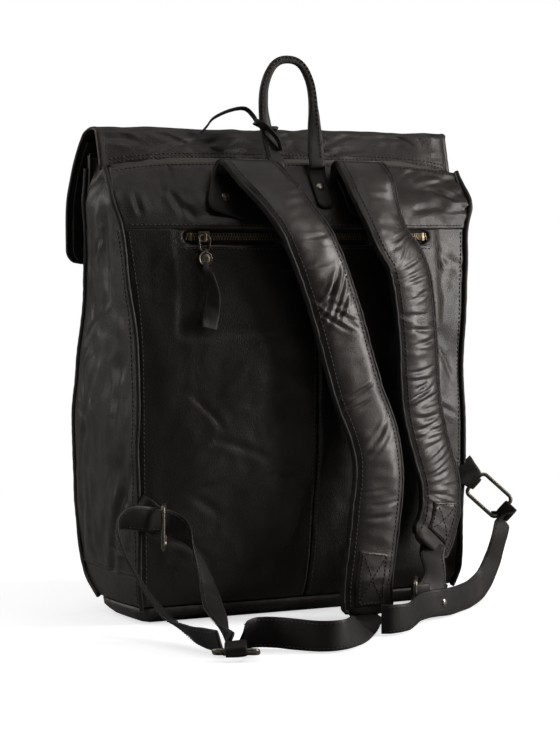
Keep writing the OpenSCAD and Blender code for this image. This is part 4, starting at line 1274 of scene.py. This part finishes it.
# Millimetres; widths and thicknesses go by the distance from the nearer end
handleShape = {
    "leg": [(21, 42.5, 405), (21, 42, 409.5), (22.5, 37, 421), (25, 30, 440), (26, 26, 460), (24, 25, 480),
            (17, 25, 496), (7, 25, 503.5)],
    "halfWidths": [(0, 8.2), (30, 7.4), (60, 4.6), (95, 3.7), (200, 3.7)],
    "halfThicks": [(0, 1.6), (30, 1.8), (60, 2.6), (95, 3.0), (200, 3.0)],
    "tie": [(82, 11, 436), (77, 13.5, 442.5), (71, 15.5, 450), (56, 17.5, 457), (42, 20, 459),
            (35, 24, 452), (33, 29, 445), (29, 36, 441), (22, 37.5, 440), (16.5, 33, 440), (17, 25, 441),
            (24, 20.5, 443), (32, 23, 446), (34.5, 30, 447), (31, 37, 444), (24, 39.5, 437), (18, 40, 430),
            (15, 40, 421)],
}


def makeHandle():
    s = handleShape
    leg = s["leg"]
    route = leg + [(-x, y, z) for x, y, z in leg[::-1]]
    path, run, _ = smoothRoute(np.array(route, float) * mm, 1.6 * mm)
    k = run / run[-1]
    wide = np.column_stack([np.cos(math.pi * k), 0.001 + 0 * k, np.sin(math.pi * k)])
    t = unit(np.gradient(path, axis=0))
    up = unit(np.cross(wide, t))
    w = np.cross(t, up)
    nearest = np.minimum(run, run[-1] - run) / mm
    half = np.interp(nearest, *np.array(s["halfWidths"], float).T) * mm
    thick = np.interp(nearest, *np.array(s["halfThicks"], float).T) * mm
    rings = strapRings(path, w, up, half * (1 + 0.06 * softNoise(path, 0.02)), thick, sides=22, power=2.8)
    rings = rings + up[:, None] * (softNoise(rings, 0.011) * 0.8 * mm)[..., None]
    addPiece("handleLoop", *closedSweep(rings), "handle", "edge", cordHide, ("handle_loop",))
    rows = []
    for face in (1, -1):
        line = path + up * (face * (thick + 0.1 * mm))[:, None] + w * (half * 0.55)[:, None]
        rows += stitchParts(line[6:-6], up[6:-6] * face)
    addParts("handleStitches", rows, "handle", "edge", thread)


def makeHandleTabs():
    tabs, rows = [], []
    for side in (-1, 1):
        z = np.array([369, 374, 388, 398, 406.5])
        line = np.column_stack([side * 21 * mm + 0 * z, 0.06 + 0 * z, z * mm])
        found, _ = drape(line, (0, -1, 0))
        line[:, 1] = found[:, 1] + np.array([1.0, 1.6, 2.0, 2.6, 4.0]) * mm
        line[-1, 1] = max(line[-1, 1], 0.0412)
        path, run, w, up = courseOf(line, 1.2 * mm, (1, 0, 0))
        width = np.interp(run, (0, 1.5 * mm, 4 * mm, run[-1]), (4, 6.5, 8.3, 8.6)) * mm
        rings = strapRings(path, w, up, width, 1.5 * mm)
        tabs.append(closedSweep(rings))
        rows += edgeStitches(path, w, up, width, 2.2 * mm, 1.45 * mm, slice(-12), pitch=3.4 * mm,
                             length=2.4 * mm, radius=0.45 * mm)
    addParts("handleTabs", tabs, "bag", "edge", beltHide, ("handle_tabs",))
    addParts("handleTabStitches", rows, "bag", "edge", thread)


def makeTie():
    path, _, _ = smoothRoute(np.array(handleShape["tie"], float) * mm, 1.2 * mm)
    t = unit(np.gradient(path, axis=0))
    side = unit(np.cross(t, np.array([0.1, 0.9, 0.45])))
    up = np.cross(side, t)
    rings = strapRings(path, up, side, (3.0 + 0.5 * softNoise(path, 0.02)) * mm, 0.95 * mm, sides=14)
    tie = addPiece("tieStrap", *closedSweep(rings), None, "edge", beltHide, ("tie_strap",))
    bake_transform(tie)


makeHandle()
makeHandleTabs()
makeTie()


def rivetPart(centre, direction, radius):
    d = unit(np.array(direction, float))
    side = unit(np.cross(d, np.array([0.2, 0.1, 0.97])))
    outline = np.array([(0.0, 1.25), (0.35, 1.2), (0.65, 1.0), (0.85, 0.72), (0.93, 0.5), (1.02, 0.42),
                        (1.06, 0.25), (1.04, 0.0), (0.9, -0.8)])
    a = np.arange(28) * 2 * math.pi / 28
    rim = np.cos(a)[:, None] * side + np.sin(a)[:, None] * np.cross(d, side)
    p = np.array(centre, float) + outline[:, None, :1] * radius * rim[None] + outline[:, None, 1:] * mm * d
    return p, [f[::-1] for f in gridFaces(len(outline), 28, closed=True)]


rivetShapes = {
    "handle_rivets": {"through": ("handleTabs",), "driven": (0, -1, 0)},
    "anchor_rivets": {"through": ("strapAnchor_right", "strapAnchor_left"), "driven": (0, -1, 0)},
    "belt_rivet_left": {"through": ("beltTailLeft",), "driven": (-0.53, -0.85, 0)},
}


def makeRivets():
    for node, s in rivetShapes.items():
        p = np.array([v.co[:] for v in frame["nodes"][node].data.vertices])
        tree = treeOf(s["through"])
        parts = []
        for rivet in (p[p[:, 0] > 0], p[p[:, 0] < 0]):
            if len(rivet):
                hit, normal = drape([(rivet.min(0) + rivet.max(0)) / 2], s["driven"], tree)
                if len(hit):
                    parts.append(rivetPart(hit[0], normal[0], 3.6 * mm))
        addParts(node.replace("_r", "R"), parts, "bag", "nickel", nickel, (node,))


makeRivets()
print("handle and rivets made")

# Millimetres; the link is drawn across and up, the tail out, across and up, the medallion as its section
zipShape = {
    "pitch": 1.3,
    "tooth": (1.5, 1.05, 3.4),
    "bead": (1.9, 1.3, 1.2),
    "link": [(4.6, 0.0), (4.9, -6.0), (3.6, -11.5), (0, -13.2), (-3.6, -11.5), (-4.9, -6), (-4.6, 0),
             (0, 1.0), (4.6, 0)],
    "medallion": [(0, 1.0), (0.3, 1.0), (0.62, 0.95), (0.70, 0.55), (0.80, 0.6), (0.90, 1.15), (0.97, 1.1),
                  (1.0, 0.6), (1.0, -0.6), (0.9, -1.0), (0, -1.0)],
    "medallionRadius": 6.3,
    "tail": [(5.0, 0, -23), (7.4, 0, -28), (9.5, 3, -38), (11.5, 5, -52), (13.5, 3, -66), (15.5, 0, -81)],
}


def middleOf(node):
    low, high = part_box(node)
    return (np.array(low) + np.array(high)) / 2


def makeTeeth(centre, radius, up):
    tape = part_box("zip_tape")
    first, last = tape[1].x - 2 * mm, tape[0].x + 2 * mm
    a = np.arange(math.acos(first / radius), math.acos(last / radius), zipShape["pitch"] * mm / radius)
    out = np.column_stack([np.cos(a), np.sin(a), 0 * a])
    tangent = np.column_stack([-np.sin(a), np.cos(a), 0 * a])
    tooth = roundedBox(np.array(zipShape["tooth"]) * mm, 0.35 * mm, 3)
    bead = roundedBox(np.array(zipShape["bead"]) * mm, 0.4 * mm, 3)
    parts = []
    for i in range(len(a)):
        sign = 1 if i % 2 else -1
        middle = centre + out[i] * (radius - 0.9 * mm)
        for part, rise in ((tooth, 1.1 * mm), (bead, 2.5 * mm)):
            parts.append(placed(part, middle + up * sign * rise, out[i], tangent[i], up))
    addParts("zipTeeth", parts, "bag", "brass", brass, ("zip_teeth",))


def makeSlider(base, o, t, up):
    boxes = [((1.6, 10.5, 9.4), 0.75, o * 2.4 * mm), ((1.4, 6, 9.8), 0.6, o * 1.6 * mm + t * 2.4 * mm)]
    boxes += [((3.6, 2.6, 1.5), 0.6, o * 4.4 * mm + up * sign * 2.6 * mm) for sign in (-1, 1)]
    boxes += [((1.4, 2.8, 7.2), 0.6, o * 6.6 * mm)]
    parts = [placed(roundedBox(np.array(size) * mm, radius * mm), base + move, o, t, up)
             for size, radius, move in boxes]
    addParts("zipSlider", parts, "zip_slider", "brass", brass, ("zip_slider",))


def makePull(o, t, up):
    bar = middleOf("pull_link")
    bar[2] = zipZ
    loop = np.array(zipShape["link"]) * mm
    path, _, _ = smoothRoute(np.array([bar + t * u + up * v for u, v in loop]), 0.8 * mm)
    rings = tubeRings(path, 0.95 * mm, 10)
    addParts("pullLink", [closedSweep(rings)], "zip_pull", "nickel", nickel, ("pull_link",))
    middle = middleOf("pull_medallion")
    outline = np.array(zipShape["medallion"])
    a = np.arange(40) * 2 * math.pi / 40
    rim = np.cos(a)[:, None] * t + np.sin(a)[:, None] * up
    size = zipShape["medallionRadius"] * mm
    p = middle + outline[:, None, :1] * size * rim[None] + outline[:, None, 1:] * mm * o
    disc = p, [f[::-1] for f in gridFaces(len(outline), 40, closed=True)]
    hoop = np.array([middle + up * 6.5 * mm + o * 0.2 * mm + 2.2 * mm * (np.cos(v) * up + np.sin(v) * o)
                     for v in np.linspace(0, 6.28, 24)])
    eye = closedSweep(tubeRings(hoop, 0.6 * mm, 8))
    addParts("pullMedallion", [disc, eye], "zip_pull", "nickel", nickel, ("pull_medallion",))
    route = np.array([bar + o * (u - 3.2) * mm + t * v * mm + up * w * mm for u, v, w in zipShape["tail"]])
    path, run, _ = smoothRoute(route, 1.0 * mm)
    twist = 0.5 * np.sin(run / (16 * mm))
    side = t[None] * np.cos(twist)[:, None] + o[None] * np.sin(twist)[:, None]
    ahead = unit(np.gradient(path, axis=0))
    normal = unit(np.cross(side, ahead))
    side = np.cross(ahead, normal)
    width = np.interp(run, (0, 8 * mm, 30 * mm, run[-1]), (2.0, 4.0, 6.2, 8.0)) * mm
    rings = strapRings(path, side, normal, width, 1.1 * mm)
    rings = rings + normal[:, None] * (softNoise(rings, 0.009) * 1.4 * mm)[..., None]
    addParts("pullTail", [closedSweep(rings)], "zip_pull", "hide", beltHide, ("pull_tail",))


def makeZip():
    # The teeth and the slider run on an arc about the slide joint's axis
    centre = np.array(next(j for j in frame["joints"] if j["name"] == "zip_slide")["pos_m"])
    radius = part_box("zip_teeth")[1].y - centre[1]
    up = np.array([0.0, 0, 1])
    makeTeeth(centre, radius, up)
    middle = middleOf("zip_slider")
    turn = math.atan2(middle[1] - centre[1], middle[0])
    o = np.array([math.cos(turn), math.sin(turn), 0])
    t = np.array([-math.sin(turn), math.cos(turn), 0])
    makeSlider(centre + o * (radius - 1.2 * mm), o, t, up)
    makePull(o, t, up)


makeZip()
print("zip made")

frameLooks = {
    "lining_bag": liningCloth, "back_pocket_bag": liningCloth, "base_board": underHide,
    "zip_tape": zipCloth, "zip_stops": brass,
    "ring_right": nickel, "ring_left": nickel,
    "buckle_frame_right": nickel, "buckle_frame_left": nickel, "buckle_prong_right": nickel,
    "buckle_prong_left": nickel,
    "snap_sockets": nickel, "flap_snaps": nickel,
}
for node, look in frameLooks.items():
    mesh = frame["nodes"][node].data
    mesh.materials.clear()
    mesh.materials.append(look)
    mesh.shade_smooth()
    mesh.set_sharp_from_angle(angle=math.radians(40))


floorShape = {"half": 20, "drop": 0.5 * mm, "fade": (0.38, 1.0), "lit": 0.35, "seen": 0.9, "glow": 0.6}


def makeFloor():
    s = floorShape
    half = s["half"]
    mesh = bpy.data.meshes.new("floor")
    mesh.from_pydata([(-half, -half, 0), (half, -half, 0), (half, half, 0), (-half, half, 0)], [],
                     [(0, 1, 2, 3)])
    material, tree, shader = startMaterial("paleFloor")
    # Away from the bag the floor fades to the white of the backdrop
    place = addNode(tree, "ShaderNodeTexCoord").outputs["Object"]
    far = addNode(tree, "ShaderNodeVectorMath", {0: place}, operation="LENGTH").outputs["Value"]
    fade = rangeNode(tree, far, *s["fade"], 0.0, 1.0)
    glow = addNode(tree, "ShaderNodeEmission", {"Color": (1, 1, 1, 1), "Strength": 1.0})
    seen = addNode(tree, "ShaderNodeLightPath").outputs["Is Camera Ray"]
    setSockets(tree, shader, {
        "Base Color": mixColour(tree, seen, (s["lit"],) * 3, (s["seen"],) * 3),
        "Roughness": 0.7,
        "Specular IOR Level": 0.1,
        "Emission Color": (1, 1, 1, 1),
        "Emission Strength": mathNode(tree, "MULTIPLY", seen, s["glow"]),
    })
    share = mathNode(tree, "MULTIPLY", fade, seen)
    mixed = addNode(tree, "ShaderNodeMixShader", {0: share, 1: shader.outputs[0], 2: glow.outputs[0]})
    tree.links.new(mixed.outputs[0], tree.nodes["Material Output"].inputs["Surface"])
    mesh.materials.append(material)
    floor = bpy.data.objects.new("floor", mesh)
    floor.location.z = -s["drop"]
    scene.collection.objects.link(floor)


lightSettings = {
    "right": {"at": (-1.45, 0.85, 0.62), "size": (0.42, 1.1), "power": 23, "aim": (-0.05, 0.05, 0.22)},
    "left": {"at": (1.45, -0.35, 0.75), "size": (0.4, 1.3), "power": 8, "aim": (0.05, 0, 0.22)},
    "top": {"at": (0.0, 0.1, 2.1), "size": (2.8, 2.4), "power": 14, "aim": (0, 0, 0)},
    "front": {"at": (-0.55, 1.35, 1.75), "size": (0.7, 0.5), "power": 2.5, "aim": (0, 0, 0.25)},
    "behind": {"at": (1.05, -1.6, 0.9), "size": (0.6, 1.2), "power": 6, "aim": (0, 0, 0.2)},
}
roomLight = 0.03


def makeLights():
    for name, s in lightSettings.items():
        data = bpy.data.lights.new(name + "Light", "AREA")
        data.shape = "RECTANGLE"
        data.size, data.size_y = s["size"]
        data.energy = s["power"]
        lamp = bpy.data.objects.new(name + "Light", data)
        lamp.location = s["at"]
        lamp.rotation_mode = "QUATERNION"
        lamp.rotation_quaternion = (Vector(s["aim"]) - Vector(s["at"])).to_track_quat("-Z", "Y")
        scene.collection.objects.link(lamp)
    world = bpy.data.worlds.new("studio")
    world.use_nodes = True
    tree = world.node_tree
    seen = addNode(tree, "ShaderNodeBackground", {"Color": (1, 1, 1, 1), "Strength": 1.0})
    lit = tree.nodes["Background"]
    setSockets(tree, lit, {"Color": (1, 1, 1, 1), "Strength": roomLight})
    path = addNode(tree, "ShaderNodeLightPath")
    mixed = addNode(tree, "ShaderNodeMixShader", {0: path.outputs["Is Camera Ray"], 1: lit.outputs[0],
                                                  2: seen.outputs[0]})
    tree.links.new(mixed.outputs[0], tree.nodes["World Output"].inputs["Surface"])
    scene.world = world
    scene.view_settings.view_transform = "Standard"


makeFloor()
makeLights()
print("floor and lights made")
